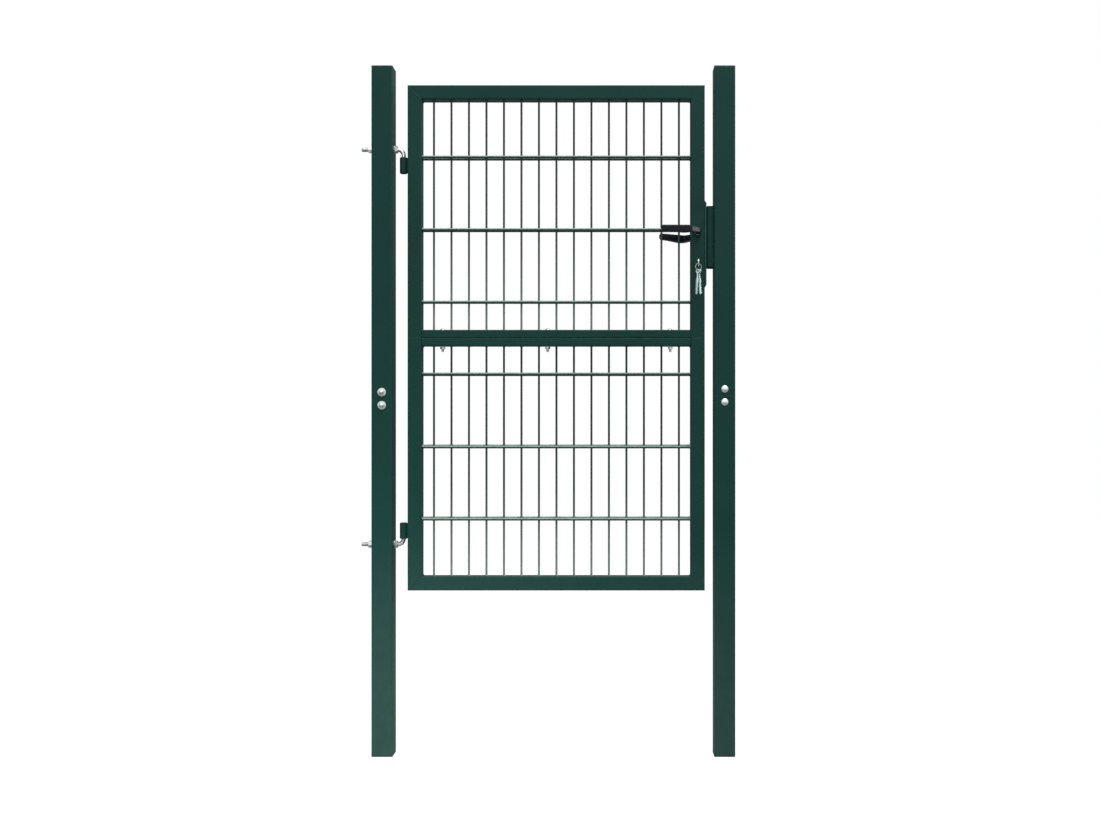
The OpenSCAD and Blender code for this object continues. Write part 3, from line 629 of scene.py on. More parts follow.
def domed(diameter: float, rise: float, foot: float = 0.0, steps: int = 8) -> Profile:
    """Gives the profile of a dome on a short straight foot, for a turned shape.

    Args:
        diameter: Diameter at the foot.
        rise: Height of the dome above its foot.
        foot: Height of the straight foot.
        steps: Steps of the arc.

    Returns:
        Corners as (radius, height), from the lower middle to the top.
    """
    ball = (diameter * diameter / 4 + rise * rise) / (2 * rise)
    start = math.asin(min(diameter / 2 / ball, 1.0))
    angles = [start * (1 - step / steps) for step in range(steps + 1)]
    arc = [(ball * math.sin(angle), foot + rise - ball * (1 - math.cos(angle))) for angle in angles]
    return [(0.0, 0.0), (diameter / 2, 0.0), *(arc if foot else arc[1:])]


def lofted(stations: list[Matrix], sides: int = 24, fullness: float = 1.0,
           hangs: list[float] | None = None) -> Shape:
    """Carries a unit ring through stations and closes both ends.

    Args:
        stations: Placed and scaled frames that the ring passes, its plane across local Z.
        sides: Sides of the ring.
        fullness: Power that squares the ring off, 1 for a plain oval.
        hangs: How far the ring's +X -Y corner hangs at each station, as a share of the ring.

    Returns:
        The closed shape.
    """
    shape = bmesh.new()
    bmesh.ops.create_circle(shape, cap_ends=True, radius=1.0, segments=sides)
    for vert in shape.verts:
        vert.co.xy = [math.copysign(abs(value) ** fullness, value) for value in vert.co.xy]
    ring, edges = list(shape.verts), list(shape.edges)
    bmesh.ops.transform(shape, matrix=stations[0], verts=ring)
    rings = [ring]
    for before, after in zip(stations, stations[1:]):
        grown = bmesh.ops.extrude_edge_only(shape, edges=edges)["geom"]
        ring = [item for item in grown if isinstance(item, bmesh.types.BMVert)]
        inside = set(ring)
        edges = [edge for edge in edges_of(grown) if inside.issuperset(edge.verts)]
        bmesh.ops.transform(shape, matrix=after @ before.inverted(), verts=ring)
        rings.append(ring)
    bmesh.ops.contextual_create(shape, geom=edges)
    for station, ring, hang in zip(stations, rings, hangs or []):
        back = station.inverted()
        for vert in ring:
            local = back @ vert.co
            local.y -= hang * max(local.x, 0.0) * max(-local.y, 0.0)
            vert.co = station @ local
    return shape


def coil(outline: Profile, pitch: float, turns: float, sides: int = 18) -> Shape:
    """Winds a closed outline of (radius, height) corners round Z and closes its ends.

    Args:
        outline: Corners of the section.
        pitch: Rise of one turn.
        turns: Number of turns.
        sides: Steps of one turn.

    Returns:
        The closed coil.
    """
    shape = bmesh.new()
    section = shape.faces.new([shape.verts.new((radius, 0.0, height)) for radius, height in outline])
    steps = int(sides * turns)
    edges = list(section.edges)
    end = bmesh.ops.spin(shape, geom=[*section.verts, *edges], cent=(0, 0, 0), axis=(0, 0, 1),
                         dvec=(0, 0, pitch / sides), angle=FULL_TURN * steps / sides, steps=steps)
    bmesh.ops.contextual_create(shape, geom=edges_of(end["geom_last"]))
    return shape


@dataclass(frozen=True)
class Thread:
    """Screw thread: a ridge that is wound round a core and sunk a little into it."""

    radius: float
    pitch: float
    depth: float
    foot: float
    crest: float
    sunk: float

    @property
    def core(self) -> float:
        """Returns the radius of the core."""
        return self.radius - self.depth

    def wound(self, length: float) -> Shape:
        """Winds the ridge round Z from z = 0 up.

        Args:
            length: Length of the wound part.

        Returns:
            The closed ridge.
        """
        bottom, half, crest = self.core - self.sunk, self.foot / 2, self.crest / 2
        section = [(bottom, -half), (self.radius, -crest), (self.radius, crest), (bottom, half)]
        return coil(section, self.pitch, length / self.pitch)


def round_edges(shape: Shape, edges: list[Edge], width: float, segments: int,
                clamp: bool = False) -> None:
    """Rounds edges of a shape.

    Args:
        shape: Shape that the edges belong to.
        edges: Edges to round.
        width: Width of the rounding.
        segments: Steps of the rounding.
        clamp: Whether the rounding stops where it meets another.
    """
    bmesh.ops.bevel(shape, geom=edges, offset=width, offset_type="OFFSET", affect="EDGES",
                    segments=segments, profile=0.5, material=-1, clamp_overlap=clamp)


def hexagon(flats: float, height: float, bore: float = 0.0, tilt: float = 30.0,
            rim_share: float = 0.475, cuts: int = 36, countersink: float = 0.8) -> Shape:
    """Makes a hexagonal nut from z = 0 up, its corners cut by a cone at both faces.

    Args:
        flats: Width across flats.
        height: Height of the nut.
        bore: Diameter of the thread in a countersink at both faces, 0 for none.
        tilt: Slope of the cones in degrees.
        rim_share: Radius where the cones start, as a share of the width across flats.
        cuts: Flat cuts that make up one cone.
        countersink: Width and depth of the countersink.

    Returns:
        The shape.
    """
    shape = bmesh.new()
    corner = flats / math.sqrt(3)
    bmesh.ops.create_cone(shape, cap_ends=True, segments=6, depth=height, radius1=corner, radius2=corner)
    bmesh.ops.translate(shape, vec=(0, 0, height / 2), verts=shape.verts)
    rim = rim_share * flats
    lean, rise = math.sin(math.radians(tilt)), math.cos(math.radians(tilt))
    for step in range(cuts):
        way = Vector((math.cos(FULL_TURN * step / cuts), math.sin(FULL_TURN * step / cuts), 0.0))
        for level, side in ((0.0, -1.0), (height, 1.0)):
            cut = bmesh.ops.bisect_plane(shape, geom=[*shape.verts, *shape.edges, *shape.faces], dist=1e-4,
                                         plane_co=way * rim + Vector((0, 0, level)),
                                         plane_no=way * lean + Vector((0, 0, side * rise)), clear_outer=True)
            edges = edges_of(cut["geom_cut"])
            if len(edges) > 2:
                bmesh.ops.contextual_create(shape, geom=edges)
    if bore:
        for side in (-1.0, 1.0):
            face = max(shape.faces, key=lambda item: side * item.normal.z * item.calc_area())
            for width, depth in ((rim - bore / 2 - countersink, 0.0), (countersink, -countersink)):
                bmesh.ops.inset_region(shape, faces=[face], thickness=width, depth=depth,
                                       use_even_offset=True)
    return shape


def packed_shape(node: str, round_off: float, flat: float = 2.0, sharp: float = 40.0) -> Shape:
    """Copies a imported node, joins its flat faces and rounds its sharp edges.

    Args:
        node: Name of the node.
        round_off: Width of the rounding.
        flat: Faces within this many degrees of each other are joined.
        sharp: Edges steeper than this many degrees are rounded.

    Returns:
        The shape, in millimetres.
    """
    shape = bmesh.new()
    shape.from_mesh(frame["nodes"][node].data)
    bmesh.ops.scale(shape, vec=(1 / METRES,) * 3, verts=shape.verts)
    bmesh.ops.remove_doubles(shape, verts=shape.verts, dist=HEALED)
    bmesh.ops.dissolve_limit(shape, angle_limit=math.radians(flat), verts=shape.verts, edges=shape.edges)
    steep = [edge for edge in shape.edges
             if edge.is_manifold and edge.calc_face_angle() > math.radians(sharp)]
    round_edges(shape, steep, round_off, 2, clamp=True)
    return shape


def bead(length: float, radius: float, ripple: float = 1.6, sides: int = 10) -> Shape:
    """Makes a rippled weld bead along Z, centred on the origin, with rounded ends.

    Args:
        length: Length of the bead.
        radius: Radius of the bead, half of which sinks into the joined parts.
        ripple: Length of one ripple.
        sides: Steps of the full turn.

    Returns:
        The shape.
    """
    ripples = max(int(length / ripple), 3)
    step = length / ripples
    profile = [(0.0, -length / 2), (radius * 0.72, -length / 2 + step * 0.25)]
    for index in range(ripples):
        start = -length / 2 + index * step
        profile += [(radius, start + step * 0.5), (radius * 0.86, start + step * 0.95)]
    profile += [(radius * 0.6, length / 2 - step * 0.02), (0.0, length / 2)]
    return turned(profile, sides)


class Blank:
    """A piece in the making, in millimetres, which gathers healed closed shapes."""

    def __init__(self, name: str, body: Body, slot: Slot) -> None:
        """Starts the piece.

        Args:
            name: Name of the finished piece.
            body: Body that it rides on.
            slot: Its finish.
        """
        self.name = name
        self.body = body
        self.slot = slot
        self.gathered = bmesh.new()

    def add(self, shape: Shape, place: Matrix | None = None) -> None:
        """Heals a shape, places it and gathers it.

        Args:
            shape: Closed shape, which is used up.
            place: Where it goes, or None to leave it.
        """
        bmesh.ops.remove_doubles(shape, verts=shape.verts, dist=HEALED)
        if place is not None:
            bmesh.ops.transform(shape, matrix=place, verts=shape.verts)
        bmesh.ops.recalc_face_normals(shape, faces=shape.faces)
        part = bpy.data.meshes.new("part")
        shape.to_mesh(part)
        shape.free()
        self.gathered.from_mesh(part)
        bpy.data.meshes.remove(part)

    def finish(self, wardrobe: "Wardrobe", replaces: tuple[str, ...] = (), sharp: float = 35.0) -> None:
        """Makes the piece an object, dresses it and ties it to its body.

        Args:
            wardrobe: Finishes to dress it from.
            replaces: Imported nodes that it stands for.
            sharp: Edges steeper than this many degrees stay sharp in the shading.
        """
        bmesh.ops.scale(self.gathered, vec=(METRES,) * 3, verts=self.gathered.verts)
        mesh = bpy.data.meshes.new(self.name)
        self.gathered.to_mesh(mesh)
        self.gathered.free()
        mesh.polygons.foreach_set("use_smooth", [True] * len(mesh.polygons))
        mesh.set_sharp_from_angle(angle=math.radians(sharp))
        mesh.materials.append(wardrobe.materials[self.slot])
        piece = bpy.data.objects.new(self.name, mesh)
        bpy.context.scene.collection.objects.link(piece)
        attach(piece, self.body.value)
        if replaces:
            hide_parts(*replaces)
        log.info("%s: %d faces, rides on %s", self.name, len(mesh.polygons), self.body.value)


# ---------------------------------------------------------------- dressing


class Wardrobe:
    """All finishes as materials: one for each slot of the record, and those of single nodes."""

    def __init__(self) -> None:
        """Builds every material once."""
        skins = Skins()
        self.materials = {slot: finish.material(skins) for slot, finish in FINISHES.items()}
        built = {finish: finish.material(skins) for finish in (DARK_NICKEL, FOREND_HIGHLIGHT_COAT)}
        self.own = {node: built[finish] for node, finish in OWN_FINISHES.items()}

    def dress_packed_nodes(self) -> None:
        """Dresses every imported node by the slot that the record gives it, or in its own finish."""
        for entry in frame["record"]["subparts"]:
            node = entry["node"]
            material = self.own.get(node, self.materials[Slot(entry["material_slot"])])
            edge_share = frame["nodes"][node].data.materials
            if edge_share:
                edge_share[0] = material
            else:
                edge_share.append(material)


# ---------------------------------------------------------------- posts


@dataclass
class PostCaps:
    """Moulded caps at the head and the foot of one post."""

    post: str
    corner: float = 4.0
    edge: float = 0.9
    plate: float = 2.5
    plug_gap: float = 2.3
    plug_wall: float = 2.0
    plug_skin: float = 0.2

    def build(self, wardrobe: Wardrobe) -> None:
        """Builds and dresses both caps.

        Args:
            wardrobe: Finishes to dress from.
        """
        for node, up in ((f"{self.post}_cap", 1.0), (f"{self.post}_foot_cap", -1.0)):
            low, high = span(node)
            centre = middle(node)
            blank = Blank(f"{node}_moulding", Body.POSTS, Slot.CAP)
            level = high.z if up > 0 else low.z
            place = Matrix.Translation((centre.x, centre.y, level)) @ Matrix.Diagonal((1, 1, up, 1))
            blank.add(self.cap(high - low), place)
            blank.finish(wardrobe, (node,))

    def cap(self, size: Vector) -> Shape:
        """Makes a cap with its top face at z = 0 and its hollow plug below.

        Args:
            size: Width, depth and whole height of the cap.

        Returns:
            The shape.
        """
        shape = bmesh.new()
        bmesh.ops.create_cube(shape, size=1.0)
        bmesh.ops.scale(shape, vec=(size.x, size.y, self.plate), verts=shape.verts)
        bmesh.ops.translate(shape, vec=(0, 0, -self.plate / 2), verts=shape.verts)
        upright = [edge for edge in shape.edges
                   if abs(edge.verts[0].co.z - edge.verts[1].co.z) > self.plate / 2]
        round_edges(shape, upright, self.corner, 5)
        top = [edge for edge in shape.edges if all(vert.co.z > -HEALED for vert in edge.verts)]
        round_edges(shape, top, self.edge, 3)
        floor = min(shape.faces, key=lambda face: face.normal.z * face.calc_area())
        bmesh.ops.inset_region(shape, faces=[floor], thickness=self.plug_gap, use_even_offset=True)
        self.draw(shape, floor, self.plate - size.z)
        bmesh.ops.inset_region(shape, faces=[floor], thickness=self.plug_wall, use_even_offset=True)
        self.draw(shape, floor, size.z - self.plate - self.plug_skin)
        return shape

    @staticmethod
    def draw(shape: Shape, face: bmesh.types.BMFace, rise: float) -> None:
        """Draws a face straight up or down with new walls round it.

        Args:
            shape: Shape that the face belongs to.
            face: Face to move.
            rise: How far it goes along Z.
        """
        bmesh.ops.inset_region(shape, faces=[face], thickness=HEALED, use_even_offset=True)
        bmesh.ops.translate(shape, vec=(0, 0, rise), verts=face.verts)


@dataclass
class SpliceBolts:
    """The two bolts through the butt joint of a post: mushroom heads one side, cap nuts the other."""

    node: str
    heads_front: bool
    pitch: float = 37.0
    post_half: float = 30.0
    shank: float = 8.0
    head: Pair = (20.0, 4.6)
    head_rim: float = 0.7
    washer: Pair = (24.0, 1.6)
    flats: float = 13.0
    nut_height: float = 6.5
    crown: Pair = (12.0, 5.6)
    crown_rim: float = 0.9
    crown_fillet: float = 0.2
    turns: Pair = (0.35, 0.95)

    def build(self, wardrobe: Wardrobe) -> None:
        """Builds and dresses the pair of bolts.

        Args:
            wardrobe: Finishes to dress from.
        """
        blank = Blank(f"{self.node}_fasteners", Body.POSTS, Slot.ZINC)
        centre = middle(self.node)
        way = Vector((0.0, -1.0 if self.heads_front else 1.0, 0.0))
        for side, turn in zip((-1.0, 1.0), self.turns):
            place = aimed((centre.x, 0.0, centre.z + side * self.pitch / 2), way)
            self.bolt(blank, place @ Matrix.Rotation(turn, 4, "Z"))
        blank.finish(wardrobe, (self.node,))

    def bolt(self, blank: Blank, place: Matrix) -> None:
        """Adds one bolt, its mushroom head towards +Z of a frame in the middle of the post.

        Args:
            blank: Piece to add to.
            place: Frame of the bolt.
        """
        out = place @ raised(self.post_half)
        back = place @ Matrix.Rotation(math.pi, 4, "X") @ raised(self.post_half)
        seat = back @ raised(self.washer[1])
        radius, end = self.shank / 2, self.post_half
        blank.add(turned([(0, -end), (radius, -end), (radius, end), (0, end)], 20), place)
        wide, tall = self.head
        blank.add(turned(domed(wide, tall - self.head_rim, self.head_rim, 10), 40), out)
        blank.add(disc(self.washer, (0.15, 0.25), (0, 0.45), (0.12, 0.15), (0.5, 0)), back)
        blank.add(hexagon(self.flats, self.nut_height), seat)
        wide, tall = self.crown
        dome = domed(wide, tall - self.crown_rim, self.crown_rim, 9)
        crown = [(0.0, 0.0), (wide / 2 + self.crown_fillet, 0.0), *dome[2:]]
        blank.add(turned(crown, 32), seat @ raised(self.nut_height))


@dataclass
class KeepWelds:
    """Stitch welds that hold the strike keep to the latch post."""

    length: float = 18.0
    radius: float = 1.5
    stitches: int = 3

    def build(self, wardrobe: Wardrobe) -> None:
        """Builds and dresses the welds.

        Args:
            wardrobe: Finishes to dress from.
        """
        low, high = span("strike_keep")
        blank = Blank("keep_welds", Body.POSTS, Slot.FRAME)
        spacing = (high.z - low.z - 2 * self.length) / (self.stitches - 1)
        for side in (low.y, high.y):
            for index in range(self.stitches):
                level = low.z + self.length + index * spacing
                blank.add(bead(self.length, self.radius), Matrix.Translation((high.x, side, level)))
        blank.finish(wardrobe, sharp=WELD_SHARP)


# ---------------------------------------------------------------- hinges


@dataclass
class HingeHook:
    """Threaded hook through the hinge post, its pin in a barrel of the leaf."""

    name: str
    pin_up: bool
    chamfer: float = 1.5
    bend: float = 16.0
    thread: Thread = Thread(radius=6.0, pitch=1.75, depth=0.75, foot=1.63, crest=0.32, sunk=0.25)
    tail_thread: float = 36.0
    tail_runout: Pair = (2.2, 0.8)
    neck_thread: float = 13.0
    neck_runout: Pair = (1.2, 1.2)
    rolled_edge: float = 1.0
    shoulder: float = 0.6
    bend_steps: int = 14

    def build(self, wardrobe: Wardrobe) -> None:
        """Builds and dresses the hook.

        Args:
            wardrobe: Finishes to dress from.
        """
        low, high = span(self.name)
        radius = self.thread.radius
        flip = -1.0 if self.pin_up else 1.0
        axis = low.z + radius if self.pin_up else high.z - radius
        pin_x, reach = high.x - radius, high.z - low.z - radius
        start_bend = pin_x - self.bend
        blank = Blank(f"{self.name}_rod", Body.POSTS, Slot.ZINC)
        place = Matrix.Translation((0, 0, axis)) @ Matrix.Diagonal((1, 1, flip, 1))
        blank.add(lofted(self.stations(low.x, start_bend, reach), 28), place)
        for start, length, runout in ((low.x, self.tail_thread, self.tail_runout),
                                      (start_bend - self.neck_thread, self.neck_thread, self.neck_runout)):
            ridge = self.thread.wound(length - sum(runout))
            blank.add(ridge, place @ aimed((start + runout[0], 0, 0), RIGHT))
        blank.finish(wardrobe, (self.name,), sharp=32.0)

    def stations(self, tail: float, start_bend: float, reach: float) -> list[Matrix]:
        """Gives the frames from the tail's end round the bend to the pin's end.

        Args:
            tail: X of the tail's end.
            start_bend: X where the bend starts.
            reach: Depth of the pin's end below the rod's axis.

        Returns:
            Frames with the rod's radius as their scale.
        """
        radius, core = self.thread.radius, self.thread.core
        thread_end, thread_start = tail + self.tail_thread, start_bend - self.neck_thread
        along = [(tail, radius - self.chamfer), (tail + self.chamfer, core), (thread_end, core),
                 (thread_end + self.rolled_edge, radius), (thread_start - self.rolled_edge, radius),
                 (thread_start, core), (start_bend - self.shoulder, core), (start_bend, radius)]
        frames = [aimed((x, 0, 0), RIGHT) @ Matrix.Diagonal((r, r, 1, 1)) for x, r in along]
        for step in range(1, self.bend_steps + 1):
            angle = math.pi / 2 * step / self.bend_steps
            place = (start_bend + self.bend * math.sin(angle), 0, -self.bend * (1 - math.cos(angle)))
            heading = Vector((math.cos(angle), 0, -math.sin(angle)))
            side = Vector((math.sin(angle), 0, math.cos(angle)))
            frames.append(aimed(place, heading, side) @ Matrix.Diagonal((radius, radius, 1, 1)))
        for level, r in ((-reach + self.chamfer, radius), (-reach, radius - self.chamfer)):
            end = aimed((start_bend + self.bend, 0, level), DOWN, RIGHT)
            frames.append(end @ Matrix.Diagonal((r, r, 1, 1)))
        return frames


@dataclass
class HookNuts:
    """Nuts and washers that clamp a hinge hook to its post."""

    name: str
    flats: float = 18.0
    bore: float = 12.0
    washer: Pair = (24.0, 2.5)
    turns: Pair = (0.10, 0.38)
    post_half: float = 30.0

    def build(self, wardrobe: Wardrobe) -> None:
        """Builds and dresses the two nuts with their washers.

        Args:
            wardrobe: Finishes to dress from.
        """
        low, high = span(self.name)
        axis = middle(self.name).z
        blank = Blank(f"{self.name}_set", Body.POSTS, Slot.ZINC)
        for side, end, turn in zip((1.0, -1.0), (high.x, -low.x), self.turns):
            place = aimed((side * self.post_half, 0, axis), (side, 0, 0)) @ Matrix.Rotation(turn, 4, "Z")
            blank.add(disc(self.washer, (0.2, 0.3), (0, 0.5), (0.5, 0)), place)
            blank.add(hexagon(self.flats, end - self.post_half - self.washer[1], self.bore),
                      place @ raised(self.washer[1]))
        blank.finish(wardrobe, (self.name,))


@dataclass
class BarrelWelds:
    """Weld beads between the two hinge barrels and the stile."""

    foot_width: float = 12.0
    radius: float = 1.7
    inset: float = 4.0

    def build(self, wardrobe: Wardrobe) -> None:
        """Builds and dresses the beads.

        Args:
            wardrobe: Finishes to dress from.
        """
        blank = Blank("barrel_welds", Body.LEAF, Slot.FRAME)
        for node in ("upper_hinge_barrel", "lower_hinge_barrel"):
            low, high = span(node)
            for side in (-1.0, 1.0):
                place = Matrix.Translation((high.x, side * self.foot_width / 2, (low.z + high.z) / 2))
                blank.add(bead(high.z - low.z - 2 * self.inset, self.radius), place)
        blank.finish(wardrobe, sharp=WELD_SHARP)


# ---------------------------------------------------------------- leaf


@dataclass
class MeshPanel:
    """Welded twin-wire mesh that fills one half of the leaf.

    The stagger of a row is how much higher its front wire lies than its back wire.
    """

    name: str
    rows_from_top: bool
    upright: float = 6.0
    upright_sides: int = 16
    cross: float = 8.0
    cross_sides: int = 20
    pitch: float = 50.0
    uprights: int = 15
    first_row: float = 80.0
    row_pitch: float = 206.0
    rows: int = 3
    stagger: tuple[float, ...] = (0.0, 0.0, 0.0)
    weld_sink: float = 0.5
    flare: float = 1.5
    nugget_size: Point = (3.7, 1.9, 4.3)
    nugget_spread: Pair = (0.9, 1.12)
    nugget_sink: float = 0.1
    seed: int = 7

    def build(self, wardrobe: Wardrobe) -> None:
        """Builds and dresses the mesh.

        Args:
            wardrobe: Finishes to dress from.
        """
        chance = random.Random(self.seed)
        low, high = span(self.name)
        centre = (low.x + high.x) / 2
        first = centre - (self.uprights - 1) / 2 * self.pitch
        columns = [first + index * self.pitch for index in range(self.uprights)]
        start, step = (high.z, -1.0) if self.rows_from_top else (low.z, 1.0)
        levels = [start + step * (self.first_row + index * self.row_pitch) for index in range(self.rows)]
        offset = (self.upright + self.cross) / 2 - self.weld_sink
        blank = Blank(f"{self.name}_wires", Body.LEAF, Slot.WIRE)
        for x in columns:
            wire = self.wire(high.z - low.z, self.upright, self.upright_sides)
            blank.add(wire, Matrix.Translation((x, 0, low.z)))
        for middle_level, stagger in zip(levels, self.stagger):
            for side in (-1.0, 1.0):
                level = middle_level - side * stagger / 2
                wire = self.wire(high.x - low.x, self.cross, self.cross_sides)
                blank.add(wire, aimed((low.x, side * offset, level), RIGHT))
                for x in columns:
                    out = side * (self.upright / 2 - self.nugget_sink)
                    blank.add(self.nugget(chance), Matrix.Translation((x, out, level)))
        blank.finish(wardrobe, (self.name,), sharp=50.0)

    def wire(self, length: float, diameter: float, sides: int) -> Shape:
        """Makes a wire along Z from z = 0, flared at both ends where it is welded on.

        Args:
            length: Length of the wire.
            diameter: Diameter of the wire.
            sides: Steps round the wire.

        Returns:
            The shape.
        """
        radius = diameter / 2
        foot = [(0.0, 0.0), (radius + self.flare, 0.0), (radius + 0.8 * self.flare, 0.7),
                (radius + 0.3 * self.flare, 1.7), (radius, 3.0)]
        head = [(r, length - z) for r, z in reversed(foot)]
        return turned(foot + head, sides)

    def nugget(self, chance: random.Random) -> Shape:
        """Makes the flattened lump of metal where two wires are fused.

        Args:
            chance: Seeded source of the small differences between welds.

        Returns:
            The shape.
        """
        shape = bmesh.new()
        bmesh.ops.create_uvsphere(shape, u_segments=8, v_segments=5, radius=1.0)
        bmesh.ops.scale(shape, vec=Vector(self.nugget_size) * chance.uniform(*self.nugget_spread),
                        verts=shape.verts)
        return shape


@dataclass
class FrameWelds:
    """Weld beads in the inner corners of both half frames."""

    radius: float = 2.6
    ripple: float = 2.2
    half_depth: float = 16.5

    def build(self, wardrobe: Wardrobe) -> None:
        """Builds and dresses the beads.

        Args:
            wardrobe: Finishes to dress from.
        """
        blank = Blank("frame_welds", Body.LEAF, Slot.FRAME)
        for mesh in ("upper_mesh", "lower_mesh"):
            low, high = span(mesh)
            for x in (low.x, high.x):
                for z in (low.z, high.z):
                    weld = bead(2 * self.half_depth, self.radius, self.ripple)
                    blank.add(weld, aimed((x, 0, z), BACK))
        blank.finish(wardrobe, sharp=WELD_SHARP)


@dataclass
class JoiningBolts:
    """Dome-headed bolts and flanged nuts that join the two half frames."""

    head: float = 17.0
    head_rim: float = 0.8
    flats: float = 13.0
    flange: Pair = (18.0, 1.8)
    flange_rise: float = 0.9
    thread: Thread = Thread(radius=4.0, pitch=1.25, depth=0.6, foot=1.12, crest=0.24, sunk=0.2)
    threaded: float = 15.0
    runout: Pair = (1.4, 0.6)
    tip: Pair = (0.7, 0.9)
    overlap: float = 0.3
    places: tuple[float, ...] = (97.5, 397.5, 747.5)
    turns: tuple[float, ...] = (0.2, 0.7, 1.2)

    def build(self, wardrobe: Wardrobe) -> None:
        """Builds and dresses the bolts and the nuts.

        Args:
            wardrobe: Finishes to dress from.
        """
        bolts, nuts = span("joining_bolts"), span("joining_nuts")
        edge = span("top_rail")[0].x
        seat, under = span("upper_mesh")[0].z, nuts[1].z
        bolt_set = Blank("joining_bolt_set", Body.LEAF, Slot.ZINC)
        nut_set = Blank("joining_nut_set", Body.LEAF, Slot.ZINC)
        dome = domed(self.head, bolts[1].z - seat - self.head_rim, self.head_rim, 9)
        shank = self.shank(seat - bolts[0].z)
        for place, turn in zip(self.places, self.turns):
            x = edge + place
            bolt_set.add(turned(dome, 36), Matrix.Translation((x, 0, seat)))
            bolt_set.add(turned(shank, 20), Matrix.Translation((x, 0, seat)))
            bolt_set.add(self.thread.wound(self.threaded - sum(self.runout)),
                         Matrix.Translation((x, 0, bolts[0].z + self.runout[0])))
            self.add_nut(nut_set, x, under, under - nuts[0].z, turn)
        bolt_set.finish(wardrobe, ("joining_bolts",))
        nut_set.finish(wardrobe, ("joining_nuts",))

    def shank(self, drop: float) -> Profile:
        """Gives the profile of a bolt's shank, with the head's seat at height 0.

        Args:
            drop: Length of the shank below the head.

        Returns:
            Corners as (radius, height).
        """
        radius, core, start = self.thread.radius, self.thread.core, self.threaded - drop
        return [(0, -drop), (core - self.tip[0], -drop), (core, -drop + self.tip[1]), (core, start),
                (radius, start + self.thread.depth), (radius, self.overlap), (0, self.overlap)]

    def add_nut(self, blank: Blank, x: float, level: float, height: float, turn: float) -> None:
        """Adds a flanged nut that hangs below a level.

        Args:
            blank: Piece to add to.
            x: Place along the rail.
            level: Height of the rail's underside.
            height: Whole height of the nut.
            turn: Angle of its flats.
        """
        place = aimed((x, 0, level), DOWN, BACK) @ Matrix.Rotation(turn, 4, "Z")
        radius, thick = self.flange[0] / 2, self.flange[1]
        top = thick + self.flange_rise
        flange = [(0, 0), (radius - 0.2, 0), (radius, 0.3), (radius - 0.1, thick / 2), (radius - 1.6, thick),
                  (self.flats / 2, top), (0, top)]
        blank.add(turned(flange, 36), place)
        blank.add(hexagon(self.flats, height - thick, 2 * self.thread.radius), place @ raised(thick))


# ---------------------------------------------------------------- lock


@dataclass(frozen=True)
class LeverSection:
    """Upright section of a lever; the heading turns from -Y towards -X, in degrees."""

    x: float
    y: float
    heading: float
    depth: float
    top: float
    bottom: float

    def frame(self) -> Matrix:
        """Makes the section's frame.

        Returns:
            The frame, with half of the section's depth and height as its scale.
        """
        angle = math.radians(self.heading)
        along = Vector((-math.sin(angle), -math.cos(angle), 0))
        return (aimed((self.x, self.y, (self.top + self.bottom) / 2), along)
                @ Matrix.Diagonal((self.depth / 2, (self.top - self.bottom) / 2, 1, 1)))


